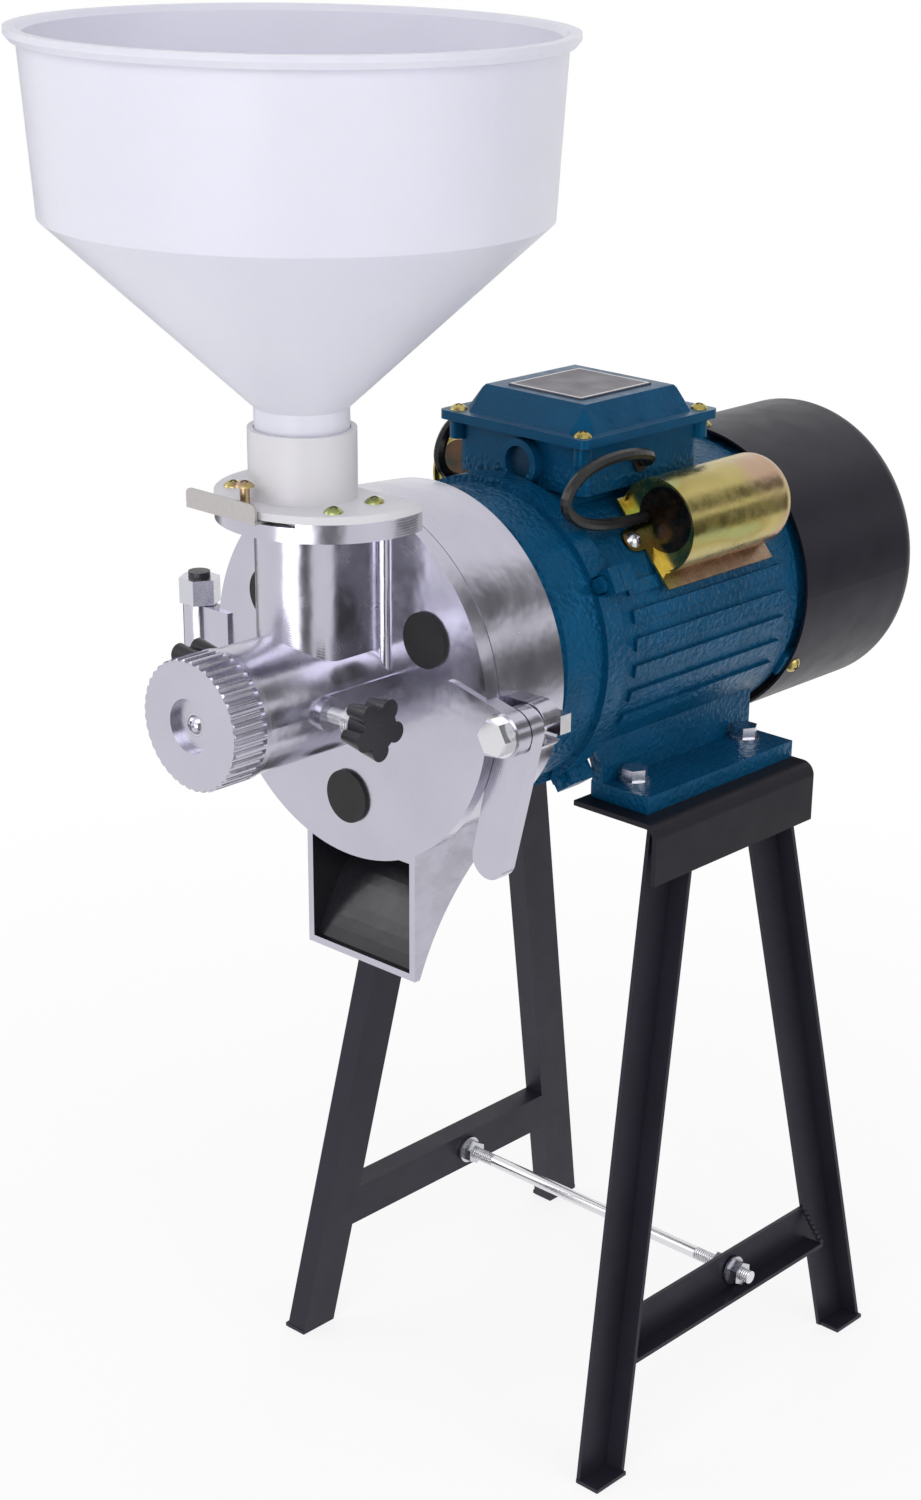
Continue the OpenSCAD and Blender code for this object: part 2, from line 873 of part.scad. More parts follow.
// Screw places round the fan cover's front edge, each with its Z axis pointing outwards
module fan_screw_places() {
    for (a = fan_screw_angles) on_axis(fan_cover_y + fan_screw_back) rotate(-a)
        rotate([0, 90, 0]) children();
}

module bell_bolts() {
    color("#2c5f80") bell_bolt_places(bell_len - bell_ear_t + near_gap) {
        translate([0, 0, -bell_bolt_r * nut_t_share]) hex(bell_bolt_r, bell_bolt_r * nut_t_share);
        cylinder(h = bell_ear_t + frame_ear_t - bolt_short, r = bell_bolt_r);
    }
}

module stator() {
    color("#70737a") ring(core_y, core_len, stator_r, rotor_r + air_gap);
}

module windings() {
    turn_w = (stator_r - rotor_r) / 2;
    mid_r = (stator_r + rotor_r) / 2 + air_gap;
    turn_h = turn_w * 0.9;
    color("#b0622d") for (s = [0, 1]) turned([
        [mid_r - turn_w / 2, core_y + s * core_len + (s - 1) * turn_h],
        [mid_r + turn_w / 2, core_y + s * core_len + (s - 1) * turn_h],
        [mid_r + turn_w / 2, core_y + s * core_len + s * turn_h],
        [mid_r - turn_w / 2, core_y + s * core_len + s * turn_h]]);
}

module rotor() {
    color("#9a9ca1") ring(core_y, core_len, rotor_r, shaft_body_r + run_fit);
}

module motor_shaft() {
    front_step = bearing_bore_y + bearing_w;
    color("#c4c6cb") turned([
        [0, shaft_nose_y],
        [shaft_nose_r, shaft_nose_y],
        [shaft_nose_r, 0],
        [shaft_r, 0],
        [shaft_r, front_step],
        [shaft_body_r, front_step],
        [shaft_body_r, rear_bearing_y],
        [shaft_r, rear_bearing_y],
        [shaft_r, frame_end + bell_wall + shaft_gap],
        [shaft_nose_r, frame_end + bell_wall + shaft_gap],
        [shaft_nose_r, shaft_end_y],
        [0, shaft_end_y]]);
}

module bearing_places() {
    on_axis(bearing_bore_y) children();
    on_axis(rear_bearing_y) children();
}

// The outer races keep their balls when the shaft is drawn out
module bearing_outer_races() {
    ball_r = (bearing_r - shaft_r) / 2 - race_t - near_gap / 2;
    pitch_r = (bearing_r + shaft_r) / 2;
    color("#b9bbc0") bearing_places() {
        difference() {
            cylinder(h = bearing_w, r = bearing_r);
            translate([0, 0, -cut]) cylinder(h = bearing_w + 2 * cut, r = bearing_r - race_t);
        }
        for (i = [0 : ball_count - 1]) rotate(i * 360 / ball_count)
            translate([pitch_r, 0, bearing_w / 2]) sphere(r = ball_r);
    }
}

module bearing_inner_races() {
    color("#b9bbc0") bearing_places() difference() {
        cylinder(h = bearing_w, r = shaft_r + race_t);
        translate([0, 0, -cut]) cylinder(h = bearing_w + 2 * cut, r = shaft_r + run_fit / 2);
    }
}

module cooling_fan() {
    color("#2f3136") on_axis(fan_y) difference() {
        union() {
            cylinder(h = fan_disc_t, r = fan_r);
            cylinder(h = fan_blade_w, r = fan_hub_r);
            for (i = [0 : fan_blades - 1]) rotate(i * 360 / fan_blades)
                translate([fan_hub_r - cut, -fan_disc_t / 2, 0])
                    cube([fan_r - fan_hub_r - fan_disc_t / 2, fan_disc_t, fan_blade_w]);
        }
        translate([0, 0, -cut]) cylinder(h = fan_blade_w + 2 * cut, r = shaft_nose_r + run_fit);
    }
}

// Half outline of a round cap with a rounded rear edge, on radius r and length len
module cap_outline(r, len, edge) {
    square([r, len - edge]);
    square([r - edge, len]);
    translate([r - edge, len - edge]) intersection() {
        circle(r = edge);
        square(edge);
    }
}

module fan_cover() {
    color("#17181a") difference() {
        on_axis(fan_cover_y) difference() {
            rotate_extrude() cap_outline(fan_cover_r, fan_cover_len, fan_edge_r);
            translate([0, 0, -cut]) rotate_extrude() cap_outline(fan_cover_r - fan_cover_wall,
                fan_cover_len - fan_cover_wall + cut, fan_edge_r - fan_cover_wall);
            for (i = [0 : grille_rings - 1], a = [0 : grille_step : 359]) rotate(a)
                translate([0, 0, fan_cover_len - fan_cover_wall - cut])
                    rotate_extrude(angle = grille_arc)
                        translate([grille_first_r + i * grille_pitch, 0])
                            square([grille_slot_w, fan_cover_wall + 2 * cut]);
        }
        fan_screw_places() cylinder(h = fan_cover_r + cut, r = small_screw_r + bolt_gap);
    }
}

module fan_cover_screws() {
    color("#c8a95a") fan_screw_places() translate([0, 0, fan_cover_r])
        pan_screw(small_head_r, small_head_h, small_screw_r, fan_cover_wall + screw_bite);
}

// Terminal box

module over_motor(z) {
    translate([0, box_mid, axis_h + z]) children();
}

module terminal_box() {
    front = box_mid - box_len / 2;
    inner_r = box_corner_r - box_wall;
    color("#1b4f76") difference() {
        union() {
            over_motor(box_low) linear_extrude(box_h) soft_rect(box_w, box_len, box_corner_r);
            over_motor(lid_y - gasket_t - box_lug_h) lid_screw_places()
                cylinder(h = box_lug_h, r = small_head_r);
            translate([boss_x, front + cut, axis_h + boss_z]) rotate([90, 0, 0])
                cylinder(h = boss_len + cut, r = boss_r);
        }
        over_motor(box_low + box_wall) difference() {
            linear_extrude(box_h) soft_rect(box_w - 2 * box_wall, box_len - 2 * box_wall, inner_r);
            lid_screw_places() cylinder(h = box_h, r = small_head_r);
        }
        over_motor(lid_y - gasket_t - 2 * screw_bite) lid_screw_places()
            cylinder(h = 2 * screw_bite + cut, r = small_screw_r + run_fit);
        over_motor(box_low - cut) cylinder(h = box_wall + 2 * cut, r = wire_hole_r);
        translate([boss_x, front + box_wall + cut, axis_h + boss_z]) rotate([90, 0, 0])
            cylinder(h = boss_len + box_wall + 2 * cut, r = boss_bore_r);
        translate([-box_w, grommet_y, axis_h + grommet_z]) rotate([0, 90, 0])
            cylinder(h = 2 * box_w, r = grommet_r - grommet_lip);
    }
}

module lid_screw_places() {
    for (x = [-1, 1], y = [-1, 1])
        translate([x * (lid_w / 2 - lid_screw_in), y * (lid_len / 2 - lid_screw_in), 0]) children();
}

module box_gasket() {
    color("#202124") over_motor(lid_y - gasket_t) difference() {
        union() {
            linear_extrude(gasket_t) soft_rect(box_w, box_len, box_corner_r);
            lid_screw_places() cylinder(h = gasket_t, r = small_head_r);
        }
        translate([0, 0, -cut]) linear_extrude(gasket_t + 2 * cut)
            soft_rect(box_w - 2 * box_wall, box_len - 2 * box_wall, box_corner_r - box_wall);
        lid_screw_places() translate([0, 0, -cut])
            cylinder(h = gasket_t + 2 * cut, r = small_screw_r + bolt_gap);
    }
}

// A sloping block: an outline narrowing from one width to another, drawn out along Y
module sloped(low_w, top_w, len) {
    translate([0, len / 2, 0]) rotate([90, 0, 0]) linear_extrude(len) polygon([
        [-low_w / 2, 0],
        [low_w / 2, 0],
        [top_w / 2, lid_rise],
        [-top_w / 2, lid_rise]]);
}

module box_lid() {
    color("#1b4f76") difference() {
        over_motor(lid_y) {
            linear_extrude(lid_t) soft_rect(lid_w, lid_len, lid_corner_r);
            translate([0, 0, lid_t]) intersection() {
                sloped(lid_base_w, lid_top_w, lid_base_len);
                rotate(90) sloped(lid_base_len, lid_top_len, lid_base_w);
                rotate(45) sloped(lid_cut_base, lid_cut_top, 2 * lid_len);
                rotate(-45) sloped(lid_cut_base, lid_cut_top, 2 * lid_len);
            }
        }
        over_motor(lid_y - cut) linear_extrude(lid_t + cut)
            soft_rect(lid_top_w, lid_top_len, box_corner_r);
        over_motor(lid_y - cut) lid_screw_places()
            cylinder(h = lid_t + 2 * cut, r = small_screw_r + bolt_gap);
    }
}

module lid_screws() {
    color("#c8a95a") over_motor(lid_y + lid_t) lid_screw_places()
        pan_screw(small_head_r, small_head_h, small_screw_r, lid_t + gasket_t + screw_bite);
}

module nameplate() {
    color("#8f9096") over_motor(lid_y + lid_t + lid_rise) linear_extrude(plate_sheet_t)
        soft_rect(plate_w, plate_len, plate_corner_r);
}

module terminal_block() {
    color("#3a3330") over_motor(box_low + box_wall) translate([0, box_len / 4, 0]) {
        translate([-block_w / 2, -block_len / 2, 0]) cube([block_w, block_len, block_h / 2]);
        for (i = [0 : block_studs - 1])
            translate([(i + 0.5) * block_w / block_studs - block_w / 2, 0, block_h / 2])
                cylinder(h = block_h / 2, r = small_screw_r);
    }
}

module conduit_plug() {
    front = box_mid - box_len / 2 - boss_len + plug_sink;
    color("#163e5c") translate([boss_x, front + plug_len, axis_h + boss_z]) rotate([90, 0, 0])
        cylinder(h = plug_len, r = boss_bore_r - run_fit);
}

module lead_grommets() {
    color("#1a1a1c") for (m = [0, 1]) mirror([m, 0, 0])
        translate([box_w / 2, grommet_y, axis_h + grommet_z]) rotate([0, 90, 0]) difference() {
            union() {
                cylinder(h = grommet_lip, r = grommet_r);
                translate([0, 0, -box_wall])
                    cylinder(h = box_wall, r = grommet_r - grommet_lip - run_fit);
            }
            translate([0, 0, -box_wall - cut])
                cylinder(h = box_wall + grommet_lip + 2 * cut, r = lead_r + run_fit);
        }
}

// Capacitors, built beside the frame with their seat level and then tilted round the shaft

module both_caps() {
    for (m = [0, 1]) mirror([m, 0, 0]) translate([0, 0, axis_h]) rotate([0, 90 - cap_angle, 0])
        children();
}

// Where a screw holds a capacitor cover's ear to the frame, at the given height
module cap_screw_places(z) {
    both_caps() translate([0, cap_front - cap_ear + cap_ear_r, z]) children();
}

module capacitors() {
    color("#26272b") both_caps() translate([0, cap_can_y, cap_mid]) rotate([-90, 0, 0])
        cylinder(h = cap_len, r = cap_r);
}

// A hood with a closed front, its flange and its ear resting on the frame
module capacitor_covers() {
    plate_y = cap_front + cap_rim;
    color("#c9ab54") difference() {
        both_caps() {
            intersection() {
                translate([0, cap_front, cap_centre]) rotate([-90, 0, 0]) union() {
                    difference() {
                        rotate_extrude() cap_outline(cap_shell_r, cap_shell_len, cap_end_r);
                        translate([0, 0, -cut]) rotate_extrude() cap_outline(cap_shell_r - cap_wall,
                            cap_shell_len - cap_wall + cut, cap_end_r - cap_wall);
                    }
                    translate([0, 0, cap_rim]) cylinder(h = cap_wall, r = cap_shell_r - cap_wall / 2);
                }
                translate([-cap_shell_r, cap_front - cut, cap_base - near_gap])
                    cube([2 * cap_shell_r, cap_shell_len + 2 * cut, 2 * cap_shell_r]);
            }
            translate([cap_shell_r - 2 * cap_wall - cap_lip / 3, cap_front - cap_strip, cap_base - cap_lip_t])
                cube([cap_lip + 2 * cap_wall, cap_shell_len + cap_strip - cap_end_r / 2, cap_lip_t]);
            translate([cap_wall - cap_shell_r, cap_front - cap_strip, cap_base - cap_lip_t])
                cube([2 * cap_shell_r, cap_strip + cap_rim + cap_wall, cap_lip_t]);
            translate([-cap_ear_r, cap_front - cap_ear + cap_ear_r, cap_base - cap_lip_t])
                cube([2 * cap_ear_r, cap_ear - cap_ear_r, cap_lip_t]);
            translate([0, cap_front - cap_ear + cap_ear_r, cap_base - cap_lip_t])
                cylinder(h = cap_lip_t, r = cap_ear_r);
        }
        cap_screw_places(frame_r) cylinder(h = cap_lip, r = small_screw_r + bolt_gap);
        both_caps() translate([-cap_lead_u, plate_y - cut, cap_base + cap_lead_rise]) rotate([-90, 0, 0])
            cylinder(h = cap_wall + 2 * cut, r = lead_r + bolt_gap);
    }
}

module capacitor_screws() {
    color("#8e7a44") cap_screw_places(cap_base)
        pan_screw(small_head_r, small_head_h, small_screw_r, cap_lip_t + near_gap + screw_bite);
}

// Points along the right lead, from its grommet to the capacitor
lead_points = [[47.7, 109, 93], [53, 108.4, 94.3], [58, 101, 99], [60.2, 84, 102.6], [60.5, 63, 102.6],
    [60.2, 46, 98.5], [60, 35, 90.5], [60, 33, 82], [60.2, 42, 74], [60.3, 58, 69], [60.3, 78, 66.8],
    [60.3, 98.5, 66.4]];
// Share of the right lead's forward reach that the left lead takes
lead_reach_shares = [1, 0.55];
lead_step_share = 0.004;
lead_side_dir = [1, 0.2, 0];
lead_rings = 36;
lead_sides = 8;

// The same points with their forward reach from the capacitor shortened to a share
function lead_row(share) = [for (p = lead_points)
    [p[0], p[1] < cap_can_y ? cap_can_y - (cap_can_y - p[1]) * share : p[1], p[2]]];

// A smooth curve through the lead's points
function lead_at(row, t) =
    let (n = len(row) - 1, i = min(floor(t * n), n - 1), f = t * n - i,
        a = row[max(i - 1, 0)], b = row[i], c = row[i + 1], d = row[min(i + 2, n)])
    0.5 * (2 * b + (c - a) * f + (2 * a - 5 * b + 4 * c - d) * f * f
        + (3 * b - a - 3 * c + d) * f * f * f);
function unit(v) = v / norm(v);

module lead(row) {
    rings = [for (i = [0 : lead_rings]) let (
        p = lead_at(row, i / lead_rings),
        q = lead_at(row, min(i / lead_rings + lead_step_share, 1)),
        o = lead_at(row, max(i / lead_rings - lead_step_share, 0)),
        w = unit(q - o),
        u = unit(cross(w, lead_side_dir)),
        v = cross(w, u))
        for (k = [0 : lead_sides - 1])
            p + lead_r * (cos(k * 360 / lead_sides) * u + sin(k * 360 / lead_sides) * v)];
    sides = [for (i = [0 : lead_rings - 1], k = [0 : lead_sides - 1]) let (
        a = i * lead_sides + k, b = i * lead_sides + (k + 1) % lead_sides)
        [a, b, b + lead_sides, a + lead_sides]];
    first = [for (k = [lead_sides - 1 : -1 : 0]) k];
    last = [for (k = [0 : lead_sides - 1]) lead_rings * lead_sides + k];
    polyhedron(rings, concat([first], sides, [last]));
}

module capacitor_leads() {
    color("#151516") for (m = [0, 1]) mirror([m, 0, 0]) translate([0, 0, axis_h])
        lead(lead_row(lead_reach_shares[m]));
}

// Mill drum

module drum() {
    color("#c3c4cc") difference() {
        union() {
            turned([
                [seal_r, -drum_face_t],
                [drum_in_r, -drum_face_t],
                [drum_in_r, drum_front],
                [drum_r, drum_front],
                [drum_r, drum_front + drum_rim_t],
                [drum_r - drum_groove, drum_front + drum_rim_t],
                [drum_r - drum_groove, drum_front + drum_rim_t + drum_groove],
                [drum_r - drum_groove / 2, drum_front + drum_rim_t + drum_groove],
                [drum_rear_r, -drum_edge_r],
                [drum_rear_r - drum_edge_r, 0],
                [seal_r, 0]]);
            difference() {
                union() {
                    along_y(drum_front, drum_len) translate([-chute_w / 2, -neck_low])
                        square([chute_w, neck_low / 2]);
                    drum_hinge_arm();
                    latch_fork();
                }
                disc(drum_front - drum_len, 3 * drum_len, drum_in_r + drum_step);
            }
            hinge_barrel(lug_low, lug_mid - lug_low - move_gap);
        }
        along_y(drum_front + outlet_rim, drum_len - drum_face_t - outlet_rim)
            translate([-outlet_w / 2, -neck_low - cut]) square([outlet_w, neck_low]);
        hinge_bore(hinge_pin_r + run_fit);
        drum_bolt_holes();
    }
}

module drum_bolt_holes() {
    for (a = [45 : 90 : 359]) on_axis(-drum_face_t - cut) rotate(a) translate([drum_bolt_pitch_r, 0, 0])
        cylinder(h = drum_face_t + 2 * cut, r = foot_bolt_r + bolt_gap);
}

module hinge_barrel(z, h) {
    translate([-hinge_x, hinge_y, axis_h + z]) cylinder(h = h, r = lug_r);
}

module hinge_bore(r) {
    translate([-hinge_x, hinge_y, axis_h + lug_low - cut])
        cylinder(h = lug_top - lug_low + 2 * cut, r = r);
}

// The drum's arm reaches forward beside the cover disc to the hinge barrel
module drum_hinge_arm() {
    arm_h = lug_mid - lug_low - move_gap;
    translate([-hinge_x - lug_r, hinge_y, axis_h + lug_low]) cube([lug_r, drum_len / 2, arm_h]);
    translate([-hinge_x - lug_r, drum_front + move_gap + lug_r, axis_h + lug_low])
        cube([hinge_x + lug_r - drum_in_r, lug_r, arm_h]);
    translate([-hinge_x - lug_r, drum_front + move_gap, axis_h + lug_low])
        cube([hinge_x + lug_r - drum_in_r, lug_r + cut, arm_h]);
}

// A fork open to the side, whose tines the hammer head turns behind
module latch_fork() {
    along_y(fork_y, fork_len) difference() {
        union() {
            translate([latch_x, latch_z]) circle(r = latch_lug_r + fork_wall);
            translate([drum_in_r, latch_z - latch_lug_r - fork_wall / 2])
                square([latch_x - drum_in_r, 2 * latch_lug_r + fork_wall]);
        }
        translate([latch_x - hammer_half - fork_wall, latch_z - fork_slot])
            square([2 * drum_r, 2 * fork_slot]);
    }
}

// Points of the chute's curved back, from the drum down to the mouth's lower edge
function chute_arc(back, low) = [for (i = [0 : chute_steps]) let (
    f = i / chute_steps,
    p = [back, -neck_low] * (1 - f) + [drum_front + chute_wall, -low] * f,
    n = unit([drum_front + chute_wall - back, neck_low - low]))
    p + 4 * f * (1 - f) * chute_sag * [n[1], -n[0]]];

module chute_side(w, back, low, top, front) {
    translate([-w / 2, 0, axis_h]) rotate([90, 0, 90]) linear_extrude(w)
        polygon(concat([[front, -top]], [[back, -top]], chute_arc(back, low), [[front, -low]]));
}

module chute() {
    color("#c9c9d2") difference() {
        chute_side(chute_w, 0, chute_drop, neck_low, drum_front);
        chute_side(chute_w - 2 * chute_wall, -chute_wall, chute_drop - chute_wall,
            neck_low - cut, drum_front - cut);
    }
}

module shaft_seal() {
    color("#2a2a2c") ring(-drum_face_t + seal_in, seal_t, seal_r - run_fit, shaft_nose_r + near_gap);
}

module drum_bolts() {
    color("#c9cbd0") for (a = [45 : 90 : 359]) on_axis(-drum_face_t) rotate(a)
        translate([drum_bolt_pitch_r, 0, 0]) {
            translate([0, 0, -foot_bolt_r]) hex(foot_bolt_r, foot_bolt_r);
            cylinder(h = drum_face_t - bolt_short, r = foot_bolt_r);
        }
}

// The rotating plate with its carrier, which slides over the shaft's nose
module rotating_plate() {
    color("#6f7178") difference() {
        union() {
            disc(rotor_plate_front, plate_rear - rotor_plate_front, plate_r);
            disc(plate_rear, carrier_t, carrier_r);
            for (i = [0 : paddle_count - 1]) on_axis(plate_rear) rotate(i * 360 / paddle_count)
                translate([0, -paddle_w / 2, 0]) cube([paddle_r, paddle_w, carrier_t]);
        }
        disc(shaft_nose_y - near_gap, drum_len, shaft_nose_r + run_fit);
        on_axis(rotor_plate_front - cut) translate([-dog_w / 2 - dog_gap, -dog_len / 2 - dog_gap, 0])
            cube([dog_w + 2 * dog_gap, dog_len + 2 * dog_gap, dog_depth + cut]);
        grooves(rotor_plate_front - cut);
    }
}

// Milling grooves across a plate's face
module grooves(y) {
    for (i = [0 : groove_count - 1]) on_axis(y) rotate(i * 360 / groove_count)
        translate([plate_r / 2, groove_w, 0]) cube([plate_r, groove_w, groove_d + cut]);
}

// Hinge and front cover

module hinge_pin() {
    color("#3b3c40") translate([-hinge_x, hinge_y, axis_h + lug_low]) {
        translate([0, 0, -hinge_pin_r]) cylinder(h = hinge_pin_r, r = lug_r);
        cylinder(h = lug_top + hinge_nut_h - lug_low + pin_over, r = hinge_pin_r);
    }
}

module hinge_nut() {
    color("#c9cbd0") translate([-hinge_x, hinge_y, axis_h + lug_top + near_gap])
        nut(hinge_pin_r, hinge_nut_h);
}

// The feed flange: a round plate cut off where it meets the cover
module feed_flange(z, t, r) {
    intersection() {
        translate([0, flange_y, axis_h + z]) cylinder(h = t, r = r);
        translate([-r, cover_front - 2 * r, axis_h + z]) cube([2 * r, 2 * r, t]);
    }
}

module tube_shape(h, half) {
    translate([0, hopper_y, axis_h]) {
        cylinder(h = h, r = half);
        translate([-half, 0, 0]) cube([2 * half, feed_off, h]);
    }
}

module cover_lugs() {
    difference() {
        translate([0, latch_back, axis_h]) rotate([90, 0, 0]) link([latch_x, latch_z], latch_lug_r,
            [cover_r - 2 * latch_lug_r, latch_z / 2], latch_lug_r * latch_root_share, latch_lug_t);
        disc(latch_front - cut, latch_lug_t + 2 * cut, cover_r - 2 * latch_lug_r);
    }
    hinge_barrel(lug_mid, lug_top - lug_mid);
    translate([-hinge_x, latch_front, axis_h + lug_mid])
        cube([hinge_x - cover_r + lug_r, cover_rear - latch_front, lug_top - lug_mid]);
}

// Webs between the hub's side bosses, the feed tube and the cover
module cover_webs() {
    for (s = [-1, 1]) {
        translate([s * (tube_half + bead_r - cut), cover_front, axis_h])
            cylinder(h = flange_top - flange_t + cut, r = bead_r);
        translate([s * (rib_out - rib_t) - (s < 0 ? rib_t : 0), stud_y, axis_h + side_boss_r - rib_t])
            cube([rib_t + rib_t / 2, cover_front - stud_y + cut, rib_t]);
        translate([s < 0 ? -side_boss_x : 0, stud_y, axis_h]) rotate([0, 90, 0])
            cylinder(h = side_boss_x, r = side_boss_r);
    }
}

module front_cover() {
    color("#c8c8d0") difference() {
        union() {
            disc(cover_front, cover_t, cover_r);
            disc(hub_front, hub_len + cut, hub_r);
            feed_flange(flange_top - flange_t, flange_t, flange_r);
            tube_shape(flange_top - flange_t / 2, tube_half);
            cover_webs();
            cover_lugs();
        }
        disc(hub_front + hub_cap_t, hub_len + 2 * cover_t, hub_bore_r);
        disc(hub_front - cut, 2 * hub_cap_t, screw_r + run_fit);
        translate([0, hopper_y, axis_h]) cylinder(h = flange_top + cut, r = feed_r);
        gate_recess();
        for (a = plug_angles) on_axis(cover_front - cut) rotate(-a) translate([plug_pitch_r, 0, 0])
            cylinder(h = cover_t + 2 * cut, r = plug_r - plug_lip);
        ring(cover_rear - 2 * joint_gap, 3 * joint_gap, drum_r - seal_edge, drum_in_r + seal_edge / 2);
        hinge_bore(hinge_pin_r + run_fit);
        disc_at_latch(latch_front - cut, latch_back - latch_front + 2 * cut, latch_r + run_fit);
        translate([-side_boss_x - cut, stud_y, axis_h]) rotate([0, 90, 0])
            cylinder(h = 2 * side_boss_x + 2 * cut, r = stud_r + run_fit);
        screw_holes(flange_top - flange_t - cut, flange_t + 2 * cut, small_screw_r + run_fit);
    }
}

module disc_at_latch(y, len, r) {
    translate([latch_x, 0, latch_z]) disc(y, len, r);
}

// The recess that the gate slides in, milled into the top of the feed flange
module gate_recess() {
    front = flange_y - flange_r - cut;
    translate([-gate_half - gate_side, front, axis_h + flange_top - gate_slot])
        cube([2 * (gate_half + gate_side), gate_rear + gate_side - front, gate_slot + cut]);
}

module screw_holes(z, h, r) {
    for (x = [-1, 1], y = [-1, 1])
        translate([x * collar_screw_x, hopper_y + y * collar_screw_y, axis_h + z])
            cylinder(h = h, r = r);
}

module cover_seal() {
    color("#232325") ring(cover_rear - 2 * joint_gap, 2 * joint_gap + joint_gap - near_gap,
        drum_r - seal_edge - run_fit, drum_in_r + seal_edge / 2 + run_fit);
}

module cover_plugs() {
    color("#1d1d1f") for (a = plug_angles) on_axis(cover_front) rotate(-a)
        translate([plug_pitch_r, 0, 0]) {
            translate([0, 0, -plug_head]) cylinder(h = plug_head, r = plug_r);
            cylinder(h = cover_t, r = plug_r - plug_lip - run_fit);
            translate([0, 0, cover_t]) cylinder(h = plug_head, r = plug_r - plug_lip / 2);
        }
}

// The latch: a hammer-head bolt that the lever turns

module latch_bolt() {
    shank_end = fork_y + fork_len + near_gap;
    color("#d5d7dc") translate([latch_x, 0, latch_z]) {
        on_axis(latch_front - washer_t - latch_head_t) hex(latch_r, latch_head_t);
        on_axis(latch_front - washer_t) cylinder(h = washer_t, r = latch_r * washer_share);
        disc(latch_front - cut, shank_end - latch_front + cut, latch_r);
        translate([-hammer_half, shank_end, axis_h - latch_r])
            cube([2 * hammer_half, hammer_t, 2 * latch_r]);
    }
}

module latch_lever() {
    tip = [latch_x, latch_z] + lever_len * [cos(lever_angle), sin(lever_angle)];
    color("#c6c6ce") difference() {
        translate([0, lever_y + lever_t, axis_h]) rotate([90, 0, 0])
            link([latch_x, latch_z], latch_lug_r, tip, lever_tip_r, lever_t);
        disc_at_latch(lever_y - cut, lever_t + 2 * cut, latch_r + run_fit / 2);
    }
}

// Adjuster

module adjusting_sleeve() {
    color("#8b8d94") difference() {
        union() {
            disc(sleeve_front, sleeve_rear - sleeve_front, sleeve_r);
            disc(sleeve_rear - sleeve_flange_t, sleeve_flange_t, sleeve_flange_r);
        }
        disc(sleeve_front + sleeve_block, drum_len * 3, sleeve_in_r);
        disc(sleeve_front - cut, screw_pocket + cut, screw_r + run_fit);
        disc(sleeve_front + sleeve_block - journal_len - cut, journal_len + 2 * cut, journal_r + run_fit);
        translate([0, hopper_y, axis_h]) {
            cylinder(h = hub_r, r = feed_r - sleeve_step);
            translate([0, -sleeve_travel, 0]) cylinder(h = hub_r, r = feed_r - sleeve_step);
        }
    }
}

module fixed_plate() {
    color("#6f7178") difference() {
        disc(fixed_front, plate_t, plate_r);
        disc(fixed_front - cut, plate_t + 2 * cut, feed_r);
        grooves(fixed_rear - groove_d);
    }
}

module feed_auger() {
    front = sleeve_front + sleeve_block;
    auger_end = fixed_rear - near_gap * 4;
    turns = floor((auger_end - front - auger_pitch / 2) / (auger_pitch / 2));
    tilt = atan(auger_pitch / 4 / auger_r);
    color("#a2a4aa") {
        disc(front - journal_len, journal_len + near_gap, journal_r);
        disc(front + near_gap, auger_end - front - near_gap, auger_core_r);
        intersection() {
            disc(front + near_gap, auger_end - front - near_gap, auger_r);
            for (i = [0 : turns - 1]) on_axis(front + (i + 1) * auger_pitch / 2) intersection() {
                rotate([i % 2 == 0 ? tilt : -tilt, 0, 0])
                    cylinder(h = auger_blade_t, r = auger_blade_w / 2, center = true);
                translate([i % 2 == 0 ? -cut : cut - auger_blade_w, -auger_blade_w / 2, -auger_pitch])
                    cube([auger_blade_w, auger_blade_w, 2 * auger_pitch]);
            }
        }
        on_axis(auger_end) translate([-dog_w / 2, -dog_len / 2, 0])
            cube([dog_w, dog_len, rotor_plate_front + dog_reach - auger_end]);
        on_axis(auger_end - auger_blade_t) cylinder(h = auger_blade_t, r = dog_len / 2);
    }
}

module adjusting_screw() {
    knob_y = hub_front - move_gap - knob_len;
    color("#b4b6bb") difference() {
        union() {
            disc(knob_y + knob_recess, sleeve_front + screw_in - knob_y - knob_recess, screw_r);
            disc(hub_front + hub_cap_t + near_gap, screw_collar_t, screw_collar_r);
        }
        disc(knob_y, knob_recess + 2 * small_head_r, small_screw_r + run_fit);
    }
}

module adjusting_knob() {
    knob_y = hub_front - move_gap - knob_len;
    color("#c4c4ca") difference() {
        on_axis(knob_y) rotate_extrude() polygon([
            [screw_r + run_fit, knob_recess],
            [knob_recess_r, knob_recess],
            [knob_recess_r, 0],
            [knob_r - knob_bevel, 0],
            [knob_r, knob_bevel],
            [knob_r, knob_len - knob_bevel / 2],
            [knob_r - knob_bevel / 2, knob_len],
            [screw_r + run_fit, knob_len]]);
        for (i = [0 : knob_grooves - 1]) on_axis(knob_y - cut) rotate(i * 360 / knob_grooves)
            translate([knob_r + knob_groove_r * knob_groove_share, 0, 0])
                cylinder(h = knob_len - knob_ring + cut, r = knob_groove_r);
    }
    color("#d8d9dd") translate([0, knob_y + knob_recess, axis_h]) rotate([90, 0, 0])
        pan_screw(small_head_r, small_head_h, small_screw_r, small_head_r);
}

